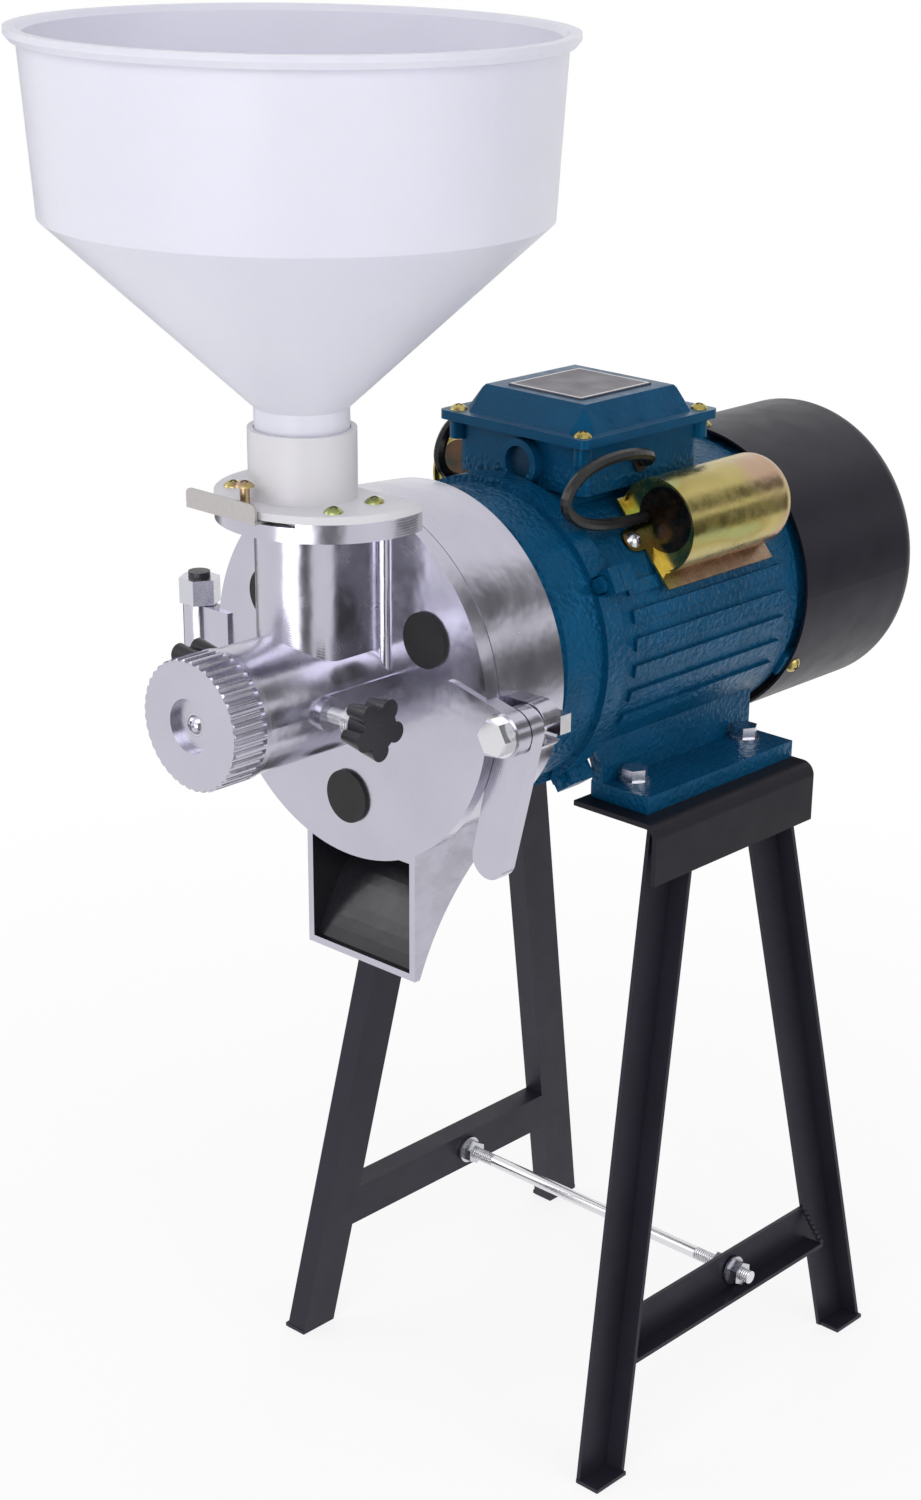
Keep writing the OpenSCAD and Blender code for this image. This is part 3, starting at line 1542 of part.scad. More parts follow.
// A star knob on its stud, pointing out along X
module lock_knob() {
    grip = star_reach - star_grip;
    lobe_r = star_r - star_core_r;
    color("#1b1b1d") translate([grip, stud_y, axis_h]) rotate([0, 90, 0]) {
        cylinder(h = star_grip, r1 = star_base_r, r2 = star_core_r);
        for (i = [0 : star_lobes - 1]) rotate(i * 360 / star_lobes) translate([star_core_r, 0, 0])
            cylinder(h = star_grip, r1 = lobe_r * star_taper_share, r2 = lobe_r);
        translate([0, 0, -star_grip / 2]) cylinder(h = star_grip / 2, r = star_neck_r);
    }
    color("#a8aab0") translate([hub_bore_r + near_gap, stud_y, axis_h]) rotate([0, 90, 0])
        cylinder(h = grip - hub_bore_r - star_grip / 2, r = stud_r);
}

module lock_knob_right() {
    lock_knob();
}

module lock_knob_left() {
    mirror([1, 0, 0]) lock_knob();
}

// Feed

module feed_collar() {
    clamp_y = flange_y - flange_r + clamp_in;
    color("#e9e9ee") difference() {
        union() {
            feed_flange(flange_top, collar_flange_t, flange_r);
            translate([0, hopper_y, axis_h + flange_top])
                cylinder(h = collar_flange_t + collar_h, r = collar_r);
        }
        translate([0, hopper_y, axis_h + flange_top - cut])
            cylinder(h = collar_h + collar_flange_t + 2 * cut, r = feed_r);
        translate([0, hopper_y, axis_h + cone_base - hopper_neck_h])
            cylinder(h = collar_h + 2 * cut, r = collar_r - collar_wall);
        screw_holes(flange_top - cut, collar_flange_t + 2 * cut, small_screw_r + bolt_gap);
        translate([clamp_x, clamp_y, axis_h + flange_top - cut])
            cylinder(h = collar_flange_t + 2 * cut, r = small_screw_r + run_fit);
    }
}

module collar_screws() {
    clamp_y = flange_y - flange_r + clamp_in;
    color("#c8a95a") {
        for (x = [-1, 1], y = [-1, 1])
            translate([x * collar_screw_x, hopper_y + y * collar_screw_y, axis_h + collar_base])
                pan_screw(small_head_r, small_head_h, small_screw_r, collar_flange_t + flange_t / 2);
        translate([clamp_x, clamp_y, axis_h + collar_base + clamp_rise])
            pan_screw(small_head_r, small_head_h, small_screw_r, clamp_rise + collar_flange_t);
    }
}

module feed_gate() {
    front = flange_y - flange_r;
    low = axis_h + flange_top - gate_slot + (gate_slot - gate_t) / 2;
    tab_y = front - 2 * gate_t - near_gap;
    color("#c6c9ce") {
        translate([-gate_half, front + gate_in, low])
            cube([2 * gate_half, gate_rear - front - gate_in, gate_t]);
        translate([-gate_half, tab_y, low])
            cube([gate_half + tab_right, front + gate_in + cut - tab_y, gate_t]);
        translate([-tab_left, tab_y, low]) cube([tab_left - gate_half + cut, gate_t * 2, gate_t]);
        translate([(tab_right - tab_left) / 2, tab_y + gate_t, low + tab_h / 2]) rotate([90, 0, 0])
            linear_extrude(gate_t) soft_rect(tab_left + tab_right, tab_h, tab_corner_r);
    }
}

module hopper() {
    base = cone_base - hopper_neck_h;
    color("#e4e4ee") translate([0, hopper_y, axis_h]) rotate_extrude() polygon([
        [neck_r, base + near_gap],
        [neck_r, cone_base],
        [hopper_cone_r, cone_top],
        [hopper_wall_r, rim_z - rim_drop],
        [hopper_rim_r - hopper_wall, rim_z - rim_drop],
        [hopper_rim_r, rim_z - rim_drop / 2],
        [hopper_rim_r, rim_z],
        [hopper_wall_r, rim_z],
        [hopper_wall_r - hopper_wall, rim_z - rim_drop / 2],
        [hopper_cone_r - hopper_wall, cone_top + hopper_wall / 2],
        [neck_r - hopper_wall, cone_base + hopper_wall / 2],
        [neck_r - hopper_wall, base + near_gap]]);
}

module placed() {
    translate([0, y_shift, 0]) children();
}

placed() rail_right();
placed() rail_left();
placed() leg_front_right();
placed() leg_rear_right();
placed() leg_front_left();
placed() leg_rear_left();
placed() crossbar_right();
placed() crossbar_left();
placed() tie_rod();
placed() tie_rod_nuts();
placed() foot_bolts();
placed() foot_nuts();
placed() front_bell();
placed() motor_frame();
placed() rear_bell();
placed() bell_bolts();
placed() stator();
placed() windings();
placed() rotor();
placed() motor_shaft();
placed() bearing_outer_races();
placed() drum_bolts();
placed() bearing_inner_races();
placed() cooling_fan();
placed() fan_cover();
placed() fan_cover_screws();
placed() terminal_box();
placed() box_gasket();
placed() box_lid();
placed() lid_screws();
placed() nameplate();
placed() terminal_block();
placed() conduit_plug();
placed() lead_grommets();
placed() capacitors();
placed() capacitor_covers();
placed() capacitor_screws();
placed() capacitor_leads();
placed() drum();
placed() chute();
placed() shaft_seal();
placed() rotating_plate();
placed() hinge_pin();
placed() hinge_nut();
placed() front_cover();
placed() cover_seal();
placed() cover_plugs();
placed() latch_bolt();
placed() latch_lever();
placed() adjusting_sleeve();
placed() fixed_plate();
placed() feed_auger();
placed() adjusting_screw();
placed() adjusting_knob();
placed() lock_knob_right();
placed() lock_knob_left();
placed() feed_collar();
placed() collar_screws();
placed() feed_gate();
placed() hopper();
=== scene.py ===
# %% [markdown]
# This lesson dresses an electric grain mill: a hopper, a milling head with a hinged
# cover, a motor and a splayed steel stand. The shapes come from a CAD model that is
# loaded first. Here they get their finishes, their small trim, a studio and a camera.

# %% Load the machine
import json
import math

import bmesh
import bpy
from mathutils import Matrix, Vector


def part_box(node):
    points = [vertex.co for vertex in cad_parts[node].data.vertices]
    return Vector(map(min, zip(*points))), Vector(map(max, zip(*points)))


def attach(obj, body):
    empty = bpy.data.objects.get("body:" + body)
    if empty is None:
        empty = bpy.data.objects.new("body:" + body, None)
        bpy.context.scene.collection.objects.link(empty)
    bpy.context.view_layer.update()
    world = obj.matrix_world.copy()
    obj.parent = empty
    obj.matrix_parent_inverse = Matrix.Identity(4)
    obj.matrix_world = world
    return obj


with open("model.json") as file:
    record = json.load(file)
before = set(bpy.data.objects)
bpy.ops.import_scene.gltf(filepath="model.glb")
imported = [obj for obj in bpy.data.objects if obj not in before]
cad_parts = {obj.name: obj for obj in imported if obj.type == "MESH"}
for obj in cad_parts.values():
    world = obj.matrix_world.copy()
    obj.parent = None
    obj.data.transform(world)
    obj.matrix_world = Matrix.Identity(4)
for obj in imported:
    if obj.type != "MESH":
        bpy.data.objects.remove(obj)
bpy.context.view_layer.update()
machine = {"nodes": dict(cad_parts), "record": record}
part = machine["nodes"]

# %% [markdown]
# The camera stands in front and to the right, a little above the milling head, and
# looks down on it. Its frame is moved a little sideways and up on its sensor, which
# is how a photograph looks when it has been cropped after it was taken.

# %% Set up the camera
right = Vector((0.74593, 0.66575, 0.01910))
up = Vector((-0.28252, 0.29031, 0.91428))
forward = Vector((-0.60314, 0.68738, -0.40464))
lens = bpy.data.cameras.new("studio_lens")
lens.sensor_width = 36
lens.lens = 63.03
lens.shift_x = -0.0547
lens.shift_y = 0.1213
camera = bpy.data.objects.new("studio_camera", lens)
bpy.context.collection.objects.link(camera)
turn = Matrix((right, up, -forward)).transposed().to_4x4()
camera.matrix_world = Matrix.Translation((0.93895, -1.02876, 0.9184)) @ turn
bpy.context.scene.camera = camera
bpy.context.scene.view_settings.view_transform = "Standard"
print("camera set, lens", lens.lens, "mm")

# %% [markdown]
# Every finish is a network of nodes around one shader. Texture coordinates are taken
# from the object, and because each piece sits at the origin they are metres in the
# machine's own frame. A noise with a scale of 400 therefore has grains about 2.5 mm
# wide, wherever it is used.

# %% Helpers that build a finish
# A mix node keeps the sockets of its colours behind those of its other kinds
MIX_COLOUR_SOCKETS = (0, 6, 7)
MIXED_COLOUR = 2


def start_finish(name, colour, gloss_off, metal=0.0):
    """A new finish: its material, its node network and its shader.

    gloss_off is the shader's roughness: 0 is a mirror and 1 is chalk.
    """
    finish = bpy.data.materials.new(name)
    finish.use_nodes = True
    net = finish.node_tree
    shader = net.nodes["Principled BSDF"]
    shader.inputs["Base Color"].default_value = (*colour, 1)
    shader.inputs["Roughness"].default_value = gloss_off
    shader.inputs["Metallic"].default_value = metal
    return finish, net, shader


def places(net, stretch=(1, 1, 1), shift=(0, 0, 0)):
    """Metres in the machine's frame, stretched along its axes."""
    coords = net.nodes.new("ShaderNodeTexCoord")
    change = net.nodes.new("ShaderNodeMapping")
    change.inputs["Scale"].default_value = stretch
    change.inputs["Location"].default_value = shift
    net.links.new(coords.outputs["Object"], change.inputs["Vector"])
    return change.outputs["Vector"]


def grain(net, scale, where=None, detail=4.0):
    """A cloudy noise whose grains are 1/scale metres wide."""
    noise = net.nodes.new("ShaderNodeTexNoise")
    noise.inputs["Scale"].default_value = scale
    noise.inputs["Detail"].default_value = detail
    net.links.new(where or places(net), noise.inputs["Vector"])
    return noise.outputs["Fac"]


def between(net, amount, low, high, start=0.3, end=0.7):
    """Turns an amount into a value from low to high."""
    spread = net.nodes.new("ShaderNodeMapRange")
    limits = {"From Min": start, "From Max": end, "To Min": low, "To Max": high}
    for name, value in limits.items():
        spread.inputs[name].default_value = value
    net.links.new(amount, spread.inputs["Value"])
    return spread.outputs["Result"]


def tint(net, amount, stops):
    """A colour that goes through the stops, each a place and a colour."""
    ramp = net.nodes.new("ShaderNodeValToRGB")
    band = ramp.color_ramp
    while len(band.elements) < len(stops):
        band.elements.new(0.5)
    for element, (place, colour) in zip(band.elements, stops):
        element.position = place
        element.color = (*colour, 1)
    net.links.new(amount, ramp.inputs["Fac"])
    return ramp.outputs["Color"]


def relief(net, shader, height, depth, under=None):
    """Raises the surface by a height of at most depth metres."""
    bump = net.nodes.new("ShaderNodeBump")
    bump.inputs["Distance"].default_value = depth
    bump.inputs["Strength"].default_value = 1.0
    net.links.new(height, bump.inputs["Height"])
    if under:
        net.links.new(under, bump.inputs["Normal"])
    net.links.new(bump.outputs["Normal"], shader.inputs["Normal"])
    return bump.outputs["Normal"]


def math_node(net, kind, first, second=None, third=None):
    """One step of arithmetic on numbers or on the outputs of nodes."""
    step = net.nodes.new("ShaderNodeMath")
    step.operation = kind
    for socket, value in zip(step.inputs, (first, second, third)):
        if value is None:
            continue
        if isinstance(value, (int, float)):
            socket.default_value = value
        else:
            net.links.new(value, socket)
    return step.outputs[0]


def mixed(net, share, first, second):
    """The first colour where the share is 0, the second where it is 1."""
    blend = net.nodes.new("ShaderNodeMix")
    blend.data_type = "RGBA"
    sockets = [blend.inputs[place] for place in MIX_COLOUR_SOCKETS]
    for socket, value in zip(sockets, (share, first, second)):
        if isinstance(value, tuple):
            socket.default_value = (*value, 1)
        else:
            net.links.new(value, socket)
    return blend.outputs[MIXED_COLOUR]


def axes(net, where=None):
    """The three coordinates of a place, each as a number."""
    split = net.nodes.new("ShaderNodeSeparateXYZ")
    net.links.new(where or places(net), split.inputs[0])
    return split.outputs


print("finish helpers ready")

# %% [markdown]
# Turned metal shows rings round the axis that it was turned on. The distance from
# the mill's shaft is measured in the shader, and a sine of it makes the rings.

# %% Rings round the shaft
AXIS_HEIGHT = 0.484


def rings(net, pitch):
    """Rings round the shaft, one in every pitch metres, from 0 to 1."""
    spot = axes(net, places(net, shift=(0, 0, -AXIS_HEIGHT)))
    square_x = math_node(net, "MULTIPLY", spot["X"], spot["X"])
    square_z = math_node(net, "MULTIPLY", spot["Z"], spot["Z"])
    radius = math_node(net, "SQRT", math_node(net, "ADD", square_x, square_z))
    wave = math_node(net, "SINE", math_node(net, "MULTIPLY", radius, 2 * math.pi / pitch))
    return math_node(net, "MULTIPLY_ADD", wave, 0.5, 0.5)


print("rings ready")

# %% [markdown]
# The stand and the fan cover are black enamel. Enamel is never quite flat: it has a
# soft waviness called orange peel, and its gloss changes a little from place to place.
# The rails that carry the motor are darker and duller than the legs under them.

# %% Black enamels
def black_enamel(name, shade, gloss_off, peel):
    """Black enamel with orange peel of at most peel metres."""
    finish, net, shader = start_finish(name, shade, gloss_off)
    lighter = tuple(c * 1.25 + 0.001 for c in shade)
    patches = tint(net, grain(net, 14), [(0.35, shade), (0.7, lighter)])
    net.links.new(patches, shader.inputs["Base Color"])
    gloss = between(net, grain(net, 60), gloss_off - 0.04, gloss_off + 0.05)
    net.links.new(gloss, shader.inputs["Roughness"])
    relief(net, shader, grain(net, 420), peel)
    shader.inputs["Specular IOR Level"].default_value = 0.3
    shader.inputs["Specular Tint"].default_value = (0.86, 0.84, 1.0, 1)
    return finish


satin_black = black_enamel("satin_black", (0.012, 0.0115, 0.018), 0.44, 0.00008)
rail_black = black_enamel("rail_black", (0.004, 0.004, 0.006), 0.50, 0.00008)
fan_black = black_enamel("fan_black", (0.006, 0.0055, 0.010), 0.40, 0.00003)
print("made", satin_black.name, rail_black.name, fan_black.name)

# %% [markdown]
# The motor wears a petrol blue hammer enamel over rough castings. Rounded cells give
# the hammered look, and a finer noise the casting under it. The terminal box on top
# is smoother, so above its foot both fade to an eighth of their depth.

# %% Blue hammer enamel
BOX_FOOT = 0.574
HAMMERED, SMOOTH = 1, 0.12


def hammer_enamel(name, deep, light):
    """Blue enamel that drifts between a deep and a light shade."""
    finish, net, shader = start_finish(name, deep, 0.3)
    cells = net.nodes.new("ShaderNodeTexVoronoi")
    cells.feature = "SMOOTH_F1"
    cells.inputs["Scale"].default_value = 380
    net.links.new(places(net), cells.inputs["Vector"])
    shade = tint(net, grain(net, 30), [(0.3, deep), (0.75, light)])
    net.links.new(shade, shader.inputs["Base Color"])
    net.links.new(between(net, grain(net, 90), 0.26, 0.42), shader.inputs["Roughness"])
    fade_from, fade_to = BOX_FOOT - 0.004, BOX_FOOT + 0.004
    strength = between(net, axes(net)["Z"], HAMMERED, SMOOTH, fade_from, fade_to)
    domes = math_node(net, "SUBTRACT", 1, cells.outputs["Distance"])
    hammered = math_node(net, "MULTIPLY", domes, strength)
    pitted = math_node(net, "MULTIPLY", grain(net, 240), strength)
    cast = relief(net, shader, pitted, 0.0009)
    relief(net, shader, hammered, 0.0006, under=cast)
    shader.inputs["Specular IOR Level"].default_value = 0.4
    shader.inputs["Specular Tint"].default_value = (0.12, 0.55, 1.0, 1)
    return finish


motor_blue = hammer_enamel("motor_blue", (0.0012, 0.046, 0.108), (0.002, 0.066, 0.155))
plug_blue, net, shader = start_finish("plug_blue", (0.002, 0.035, 0.08), 0.45)
shader.inputs["Specular IOR Level"].default_value = 0.3
relief(net, shader, grain(net, 900), 0.00008)
print("made", motor_blue.name, plug_blue.name)

# %% [markdown]
# The milling head is cast aluminium that was polished on a wheel. Polished metal has
# no colour of its own to speak of: it shows the room, so the studio further down does
# half of this work. The finish adds what the wheel left: a faint waviness of the
# casting, a gloss that drifts, and fine scratches that run round the shaft.

# %% Aluminium
def polished_casting(name, colour, gloss_off, ring_depth):
    """Wheel-polished aluminium with scratches of ring_depth metres."""
    finish, net, shader = start_finish(name, colour, gloss_off, metal=1.0)
    dull = tuple(c * 0.93 for c in colour)
    drift = tint(net, grain(net, 26), [(0.3, colour), (0.75, dull)])
    net.links.new(drift, shader.inputs["Base Color"])
    gloss = between(net, grain(net, 55, detail=8), gloss_off - 0.05, gloss_off + 0.08)
    net.links.new(gloss, shader.inputs["Roughness"])
    cast = relief(net, shader, grain(net, 60, detail=2), 0.0004)
    relief(net, shader, rings(net, 0.0012), ring_depth, under=cast)
    return finish


cast_aluminium = polished_casting("cast_aluminium", (0.53, 0.52, 0.60), 0.22, 0.00001)
knob_metal = polished_casting("knob_metal", (0.54, 0.53, 0.61), 0.26, 0.00003)
print("made", cast_aluminium.name, knob_metal.name)

# %% [markdown]
# The inside of the chute is painted almost black and not metallic. This is painted
# shade: it stands for the dark that its walls hold, next to the polished outside. The
# shader finds the inside from two things: the point lies between the side walls, and
# the surface doesn't face down or back, as the outside of the chute's curved floor does.

# %% Painted shade inside the chute
WALL = 0.004
SLANT = 0.7
FACES_OUT = 0.1
FACES_FRONT = -0.97


def inside_chute(net):
    """1 on the chute's inner surfaces and 0 on its outside and on its front rim."""
    low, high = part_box("chute")
    geometry = net.nodes.new("ShaderNodeNewGeometry").outputs
    spot, normal = axes(net, geometry["Position"]), axes(net, geometry["Normal"])
    reach = math_node(net, "ABSOLUTE", spot["X"])
    between_walls = math_node(net, "LESS_THAN", reach, high[0] - WALL * 0.6)
    back, top = (math_node(net, "MULTIPLY", normal[axis], SLANT) for axis in "YZ")
    back_and_down = math_node(net, "SUBTRACT", back, top)
    outside = math_node(net, "GREATER_THAN", back_and_down, FACES_OUT)
    rim = math_node(net, "LESS_THAN", normal["Y"], FACES_FRONT)
    inner = math_node(net, "SUBTRACT", 1, math_node(net, "MAXIMUM", outside, rim))
    return math_node(net, "MULTIPLY", between_walls, inner)


chute_aluminium = polished_casting("chute_aluminium", (0.53, 0.52, 0.60), 0.25, 0.0)
net = chute_aluminium.node_tree
shader = net.nodes["Principled BSDF"]
inside = inside_chute(net)
outer = shader.inputs["Base Color"].links[0].from_socket
# Painted shade: the inner surfaces get a near-black colour and lose their metal look
painted_shade_inside = mixed(net, inside, outer, (0.014, 0.0135, 0.018))
net.links.new(painted_shade_inside, shader.inputs["Base Color"])
net.links.new(math_node(net, "SUBTRACT", 1, inside), shader.inputs["Metallic"])
print("made", chute_aluminium.name)

# %% [markdown]
# Small steel parts are plated. Bright zinc is bluish and slightly crystalline, and
# yellow zinc shines through gold, pink and green, because its film is very thin. The
# front ends of the capacitors are plated too, and are painted dark with reddish glints,
# which is a painted reflection of the dark that their mirror-like faces show. They are
# found by two things: they face the front, and they lie within the round of a capacitor.

# %% Plated steel
FACES_HEAD_ON = -0.93


def bright_plate(name, colour, gloss_off):
    """Zinc or chrome whose crystals differ a little in gloss."""
    finish, net, shader = start_finish(name, colour, gloss_off, metal=1.0)
    crystals = net.nodes.new("ShaderNodeTexVoronoi")
    crystals.inputs["Scale"].default_value = 350
    net.links.new(places(net), crystals.inputs["Vector"])
    spread = crystals.outputs["Distance"]
    gloss = between(net, spread, gloss_off - 0.03, gloss_off + 0.05, 0, 1)
    net.links.new(gloss, shader.inputs["Roughness"])
    relief(net, shader, grain(net, 200, detail=1), 0.00003)
    return finish


def film_plate(name):
    """Yellow zinc, with a painted dark reflection and glints on the capacitors' front ends."""
    finish, net, shader = start_finish(name, (0.6, 0.5, 0.25), 0.24, metal=1.0)
    gold, pink = (0.46, 0.38, 0.14), (0.47, 0.32, 0.22)
    green, olive = (0.34, 0.38, 0.15), (0.36, 0.29, 0.08)
    along = places(net, stretch=(1, 0.35, 1))
    film = tint(net, grain(net, 30, where=along, detail=1),
                [(0.34, green), (0.42, olive), (0.50, gold), (0.56, gold), (0.66, pink)])
    normal = net.nodes.new("ShaderNodeNewGeometry").outputs["Normal"]
    front = math_node(net, "LESS_THAN", axes(net, normal)["Y"], FACES_HEAD_ON)
    low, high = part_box("capacitors")
    radius = (high[2] - low[2]) / 2
    spot = axes(net)
    reach = math_node(net, "ABSOLUTE", spot["X"])
    off_x = math_node(net, "SUBTRACT", reach, high[0] - radius)
    off_z = math_node(net, "SUBTRACT", spot["Z"], low[2] + radius)
    squares = (math_node(net, "POWER", off, 2) for off in (off_x, off_z))
    in_round = math_node(net, "LESS_THAN", math_node(net, "ADD", *squares), radius ** 2)
    end_plate = math_node(net, "MULTIPLY", front, in_round)
    # Painted reflection: the front ends get dark colours with reddish glints, in place of the
    # dark that they mirror
    reflected_dark_green, painted_glint_red = (0.03, 0.04, 0.034), (0.16, 0.07, 0.04)
    painted_reflection = tint(net, grain(net, 60), [(0.35, reflected_dark_green), (0.75, painted_glint_red)])
    net.links.new(mixed(net, end_plate, film, painted_reflection), shader.inputs["Base Color"])
    net.links.new(between(net, grain(net, 120), 0.18, 0.34), shader.inputs["Roughness"])
    relief(net, shader, grain(net, 160), 0.00012)
    return finish


zinc_steel = bright_plate("zinc_steel", (0.60, 0.60, 0.65), 0.26)
chrome_rod = bright_plate("chrome_rod", (0.70, 0.70, 0.73), 0.18)
yellow_zinc = film_plate("yellow_zinc")
print("made", zinc_steel.name, chrome_rod.name, yellow_zinc.name)

# %% [markdown]
# Inside are turned steel, laminated core steel, ground iron and varnished copper.
# They are seldom seen, but the cover opens, so they are finished too.

# %% Metals of the inside
def turned_steel(name, colour, gloss_off, pitch):
    """Metal with turning marks, one in every pitch metres."""
    finish, net, shader = start_finish(name, colour, gloss_off, metal=1.0)
    gloss = between(net, grain(net, 80), gloss_off - 0.08, gloss_off + 0.1)
    net.links.new(gloss, shader.inputs["Roughness"])
    fine = relief(net, shader, grain(net, 500), 0.00005)
    relief(net, shader, rings(net, pitch), 0.00005, under=fine)
    return finish


machined_steel = turned_steel("machined_steel", (0.60, 0.61, 0.63), 0.32, 0.0009)
core_steel = turned_steel("core_steel", (0.35, 0.35, 0.37), 0.5, 0.002)
plate_iron = turned_steel("plate_iron", (0.33, 0.33, 0.35), 0.48, 0.0015)
copper, net, shader = start_finish("copper", (0.55, 0.22, 0.09), 0.35, metal=0.8)
strands = places(net, stretch=(900, 120, 900))
relief(net, shader, grain(net, 1, where=strands), 0.0004)
print("made", machined_steel.name, core_steel.name, plate_iron.name, copper.name)

# %% [markdown]
# Black plastic and rubber differ in their sheen. Plastic knobs have a fine mould
# texture, and rubber is duller and a little dusty, which lifts its colour in patches.

# %% Plastics and rubbers
def moulded(name, colour, gloss_off, texture, dust=0.3):
    """Plastic or rubber with a mould texture of at most texture metres."""
    finish, net, shader = start_finish(name, colour, gloss_off)
    dusty = tuple(c * (1 + dust) + 0.01 * dust for c in colour)
    patches = tint(net, grain(net, 24), [(0.35, colour), (0.75, dusty)])
    net.links.new(patches, shader.inputs["Base Color"])
    gloss = between(net, grain(net, 70), gloss_off - 0.06, gloss_off + 0.09)
    net.links.new(gloss, shader.inputs["Roughness"])
    relief(net, shader, grain(net, 1100), texture)
    shader.inputs["Specular IOR Level"].default_value = 0.35
    return finish


black_plastic = moulded("black_plastic", (0.012, 0.012, 0.014), 0.34, 0.00006)
cap_plastic = moulded("cap_plastic", (0.016, 0.016, 0.019), 0.42, 0.00005)
black_rubber = moulded("black_rubber", (0.008, 0.008, 0.009), 0.55, 0.00012, dust=0.4)
lead_rubber = moulded("lead_rubber", (0.010, 0.010, 0.011), 0.3, 0.00004)
white_plastic = moulded("white_plastic", (0.62, 0.61, 0.64), 0.38, 0.00005, dust=0.04)
shader = white_plastic.node_tree.nodes["Principled BSDF"]
shader.inputs["Subsurface Weight"].default_value = 0.3
shader.inputs["Subsurface Radius"].default_value = (0.006, 0.006, 0.006)
print("made five moulded finishes")

# %% [markdown]
# The hopper is milky polyethylene. Light soaks into it and comes out again close by,
# so the far wall glows a little through the near one. A share of transmission with a
# rough surface gives that look without hiding the shape.

# %% Milky hopper
hopper_plastic, net, shader = start_finish("hopper_plastic", (0.84, 0.84, 0.93), 0.36)
milk = tint(net, grain(net, 9), [(0.3, (0.85, 0.85, 0.94)), (0.75, (0.81, 0.81, 0.91))])
net.links.new(milk, shader.inputs["Base Color"])
net.links.new(between(net, grain(net, 40), 0.3, 0.42), shader.inputs["Roughness"])
relief(net, shader, grain(net, 45, detail=2), 0.0004)
shader.inputs["Subsurface Weight"].default_value = 0.5
shader.inputs["Subsurface Radius"].default_value = (0.02, 0.02, 0.024)
shader.inputs["Transmission Weight"].default_value = 0.25
shader.inputs["IOR"].default_value = 1.3
print("made", hopper_plastic.name)

# %% [markdown]
# A few pieces carry two finishes or a mark of their own. The nameplate is a thin
# printed sheet, here left bare: a grey field inside a silver line. The line is drawn
# by how far a point lies from the edge of the plate's own box.

# %% Bare nameplate
LINE_FROM, LINE_TO = 0.0012, 0.0024


def from_edge(net, node):
    """How far a point lies inside the box of a flat node, in metres."""
    low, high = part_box(node)
    spot = axes(net)
    sides = []
    for axis in (0, 1):
        middle, half = (low[axis] + high[axis]) / 2, (high[axis] - low[axis]) / 2
        off = math_node(net, "ABSOLUTE", math_node(net, "SUBTRACT", spot["XY"[axis]], middle))
        sides.append(math_node(net, "SUBTRACT", half, off))
    return math_node(net, "MINIMUM", *sides)


plate_metal, net, shader = start_finish("plate_metal", (0.2, 0.19, 0.22), 0.4, metal=0.6)
brushed = places(net, stretch=(60, 900, 60))
dark_grey, mid_grey, silver = (0.105, 0.098, 0.115), (0.15, 0.14, 0.16), (0.72, 0.72, 0.76)
field = tint(net, grain(net, 1, where=brushed), [(0.3, dark_grey), (0.7, mid_grey)])
inset = from_edge(net, "nameplate")
line = math_node(net, "MULTIPLY", math_node(net, "GREATER_THAN", inset, LINE_FROM),
                 math_node(net, "LESS_THAN", inset, LINE_TO))
net.links.new(mixed(net, line, field, silver), shader.inputs["Base Color"])
net.links.new(between(net, grain(net, 60), 0.34, 0.5), shader.inputs["Roughness"])
print("made", plate_metal.name)

# %% [markdown]
# The gate is a bent strip of plain sheet steel, duller and warmer than the castings.
# The rolling mill leaves fine streaks in it, along the direction in which it slides.

# %% Sheet steel of the gate
sheet_steel, net, shader = start_finish("sheet_steel", (0.50, 0.48, 0.48), 0.42, metal=0.85)
streaks = grain(net, 1, where=places(net, stretch=(700, 40, 300)))
rolled = tint(net, streaks, [(0.3, (0.50, 0.48, 0.475)), (0.7, (0.47, 0.45, 0.445))])
net.links.new(rolled, shader.inputs["Base Color"])
net.links.new(between(net, streaks, 0.36, 0.48), shader.inputs["Roughness"])
relief(net, shader, grain(net, 90), 0.00003)
print("made", sheet_steel.name)

# %% [markdown]
# Threads that show from a step away are drawn as a fine wave along the axis of the
# rod or stud. The tie rod has them only near its ends, where its nuts sit, and each
# star knob is moulded on a bright stud, so its shader changes from steel to plastic
# where the stud enters the knob.

# %% Threaded steel
STAR_GRIP = 0.014
ROD_THREAD = 0.042


def thread(net, along, pitch):
    """A wave with one turn in every pitch metres, from 0 to 1."""
    wave = math_node(net, "SINE", math_node(net, "MULTIPLY", along, 2 * math.pi / pitch))
    return math_node(net, "MULTIPLY_ADD", wave, 0.5, 0.5)


threaded_rod = bright_plate("threaded_rod", (0.70, 0.70, 0.73), 0.2)
net = threaded_rod.node_tree
reach = math_node(net, "ABSOLUTE", axes(net)["X"])
end_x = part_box("tie_rod")[1][0]
near_end = math_node(net, "GREATER_THAN", reach, end_x - ROD_THREAD)
height = math_node(net, "MULTIPLY", thread(net, reach, 0.0015), near_end)
relief(net, net.nodes["Principled BSDF"], height, 0.0005)

star_knob = moulded("star_knob", (0.014, 0.014, 0.018), 0.3, 0.00005)
net = star_knob.node_tree
shader = net.nodes["Principled BSDF"]
reach = math_node(net, "ABSOLUTE", axes(net)["X"])
grip_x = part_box("lock_knob_right")[1][0]
on_stud = math_node(net, "LESS_THAN", reach, grip_x - STAR_GRIP)
plastic = shader.inputs["Base Color"].links[0].from_socket
net.links.new(mixed(net, on_stud, plastic, (0.62, 0.62, 0.66)), shader.inputs["Base Color"])
net.links.new(on_stud, shader.inputs["Metallic"])
height = math_node(net, "MULTIPLY", thread(net, reach, 0.00125), on_stud)
relief(net, shader, height, 0.0004)

oxide_black = turned_steel("oxide_black", (0.06, 0.06, 0.066), 0.4, 0.001)
print("made", threaded_rod.name, star_knob.name, oxide_black.name)

# %% [markdown]
# Each piece of the machine names its finish in the record that came with the model,
# so the dressing is a short loop: look up the piece, and put its finish in its slot.
# The pieces with a finish of their own come last.

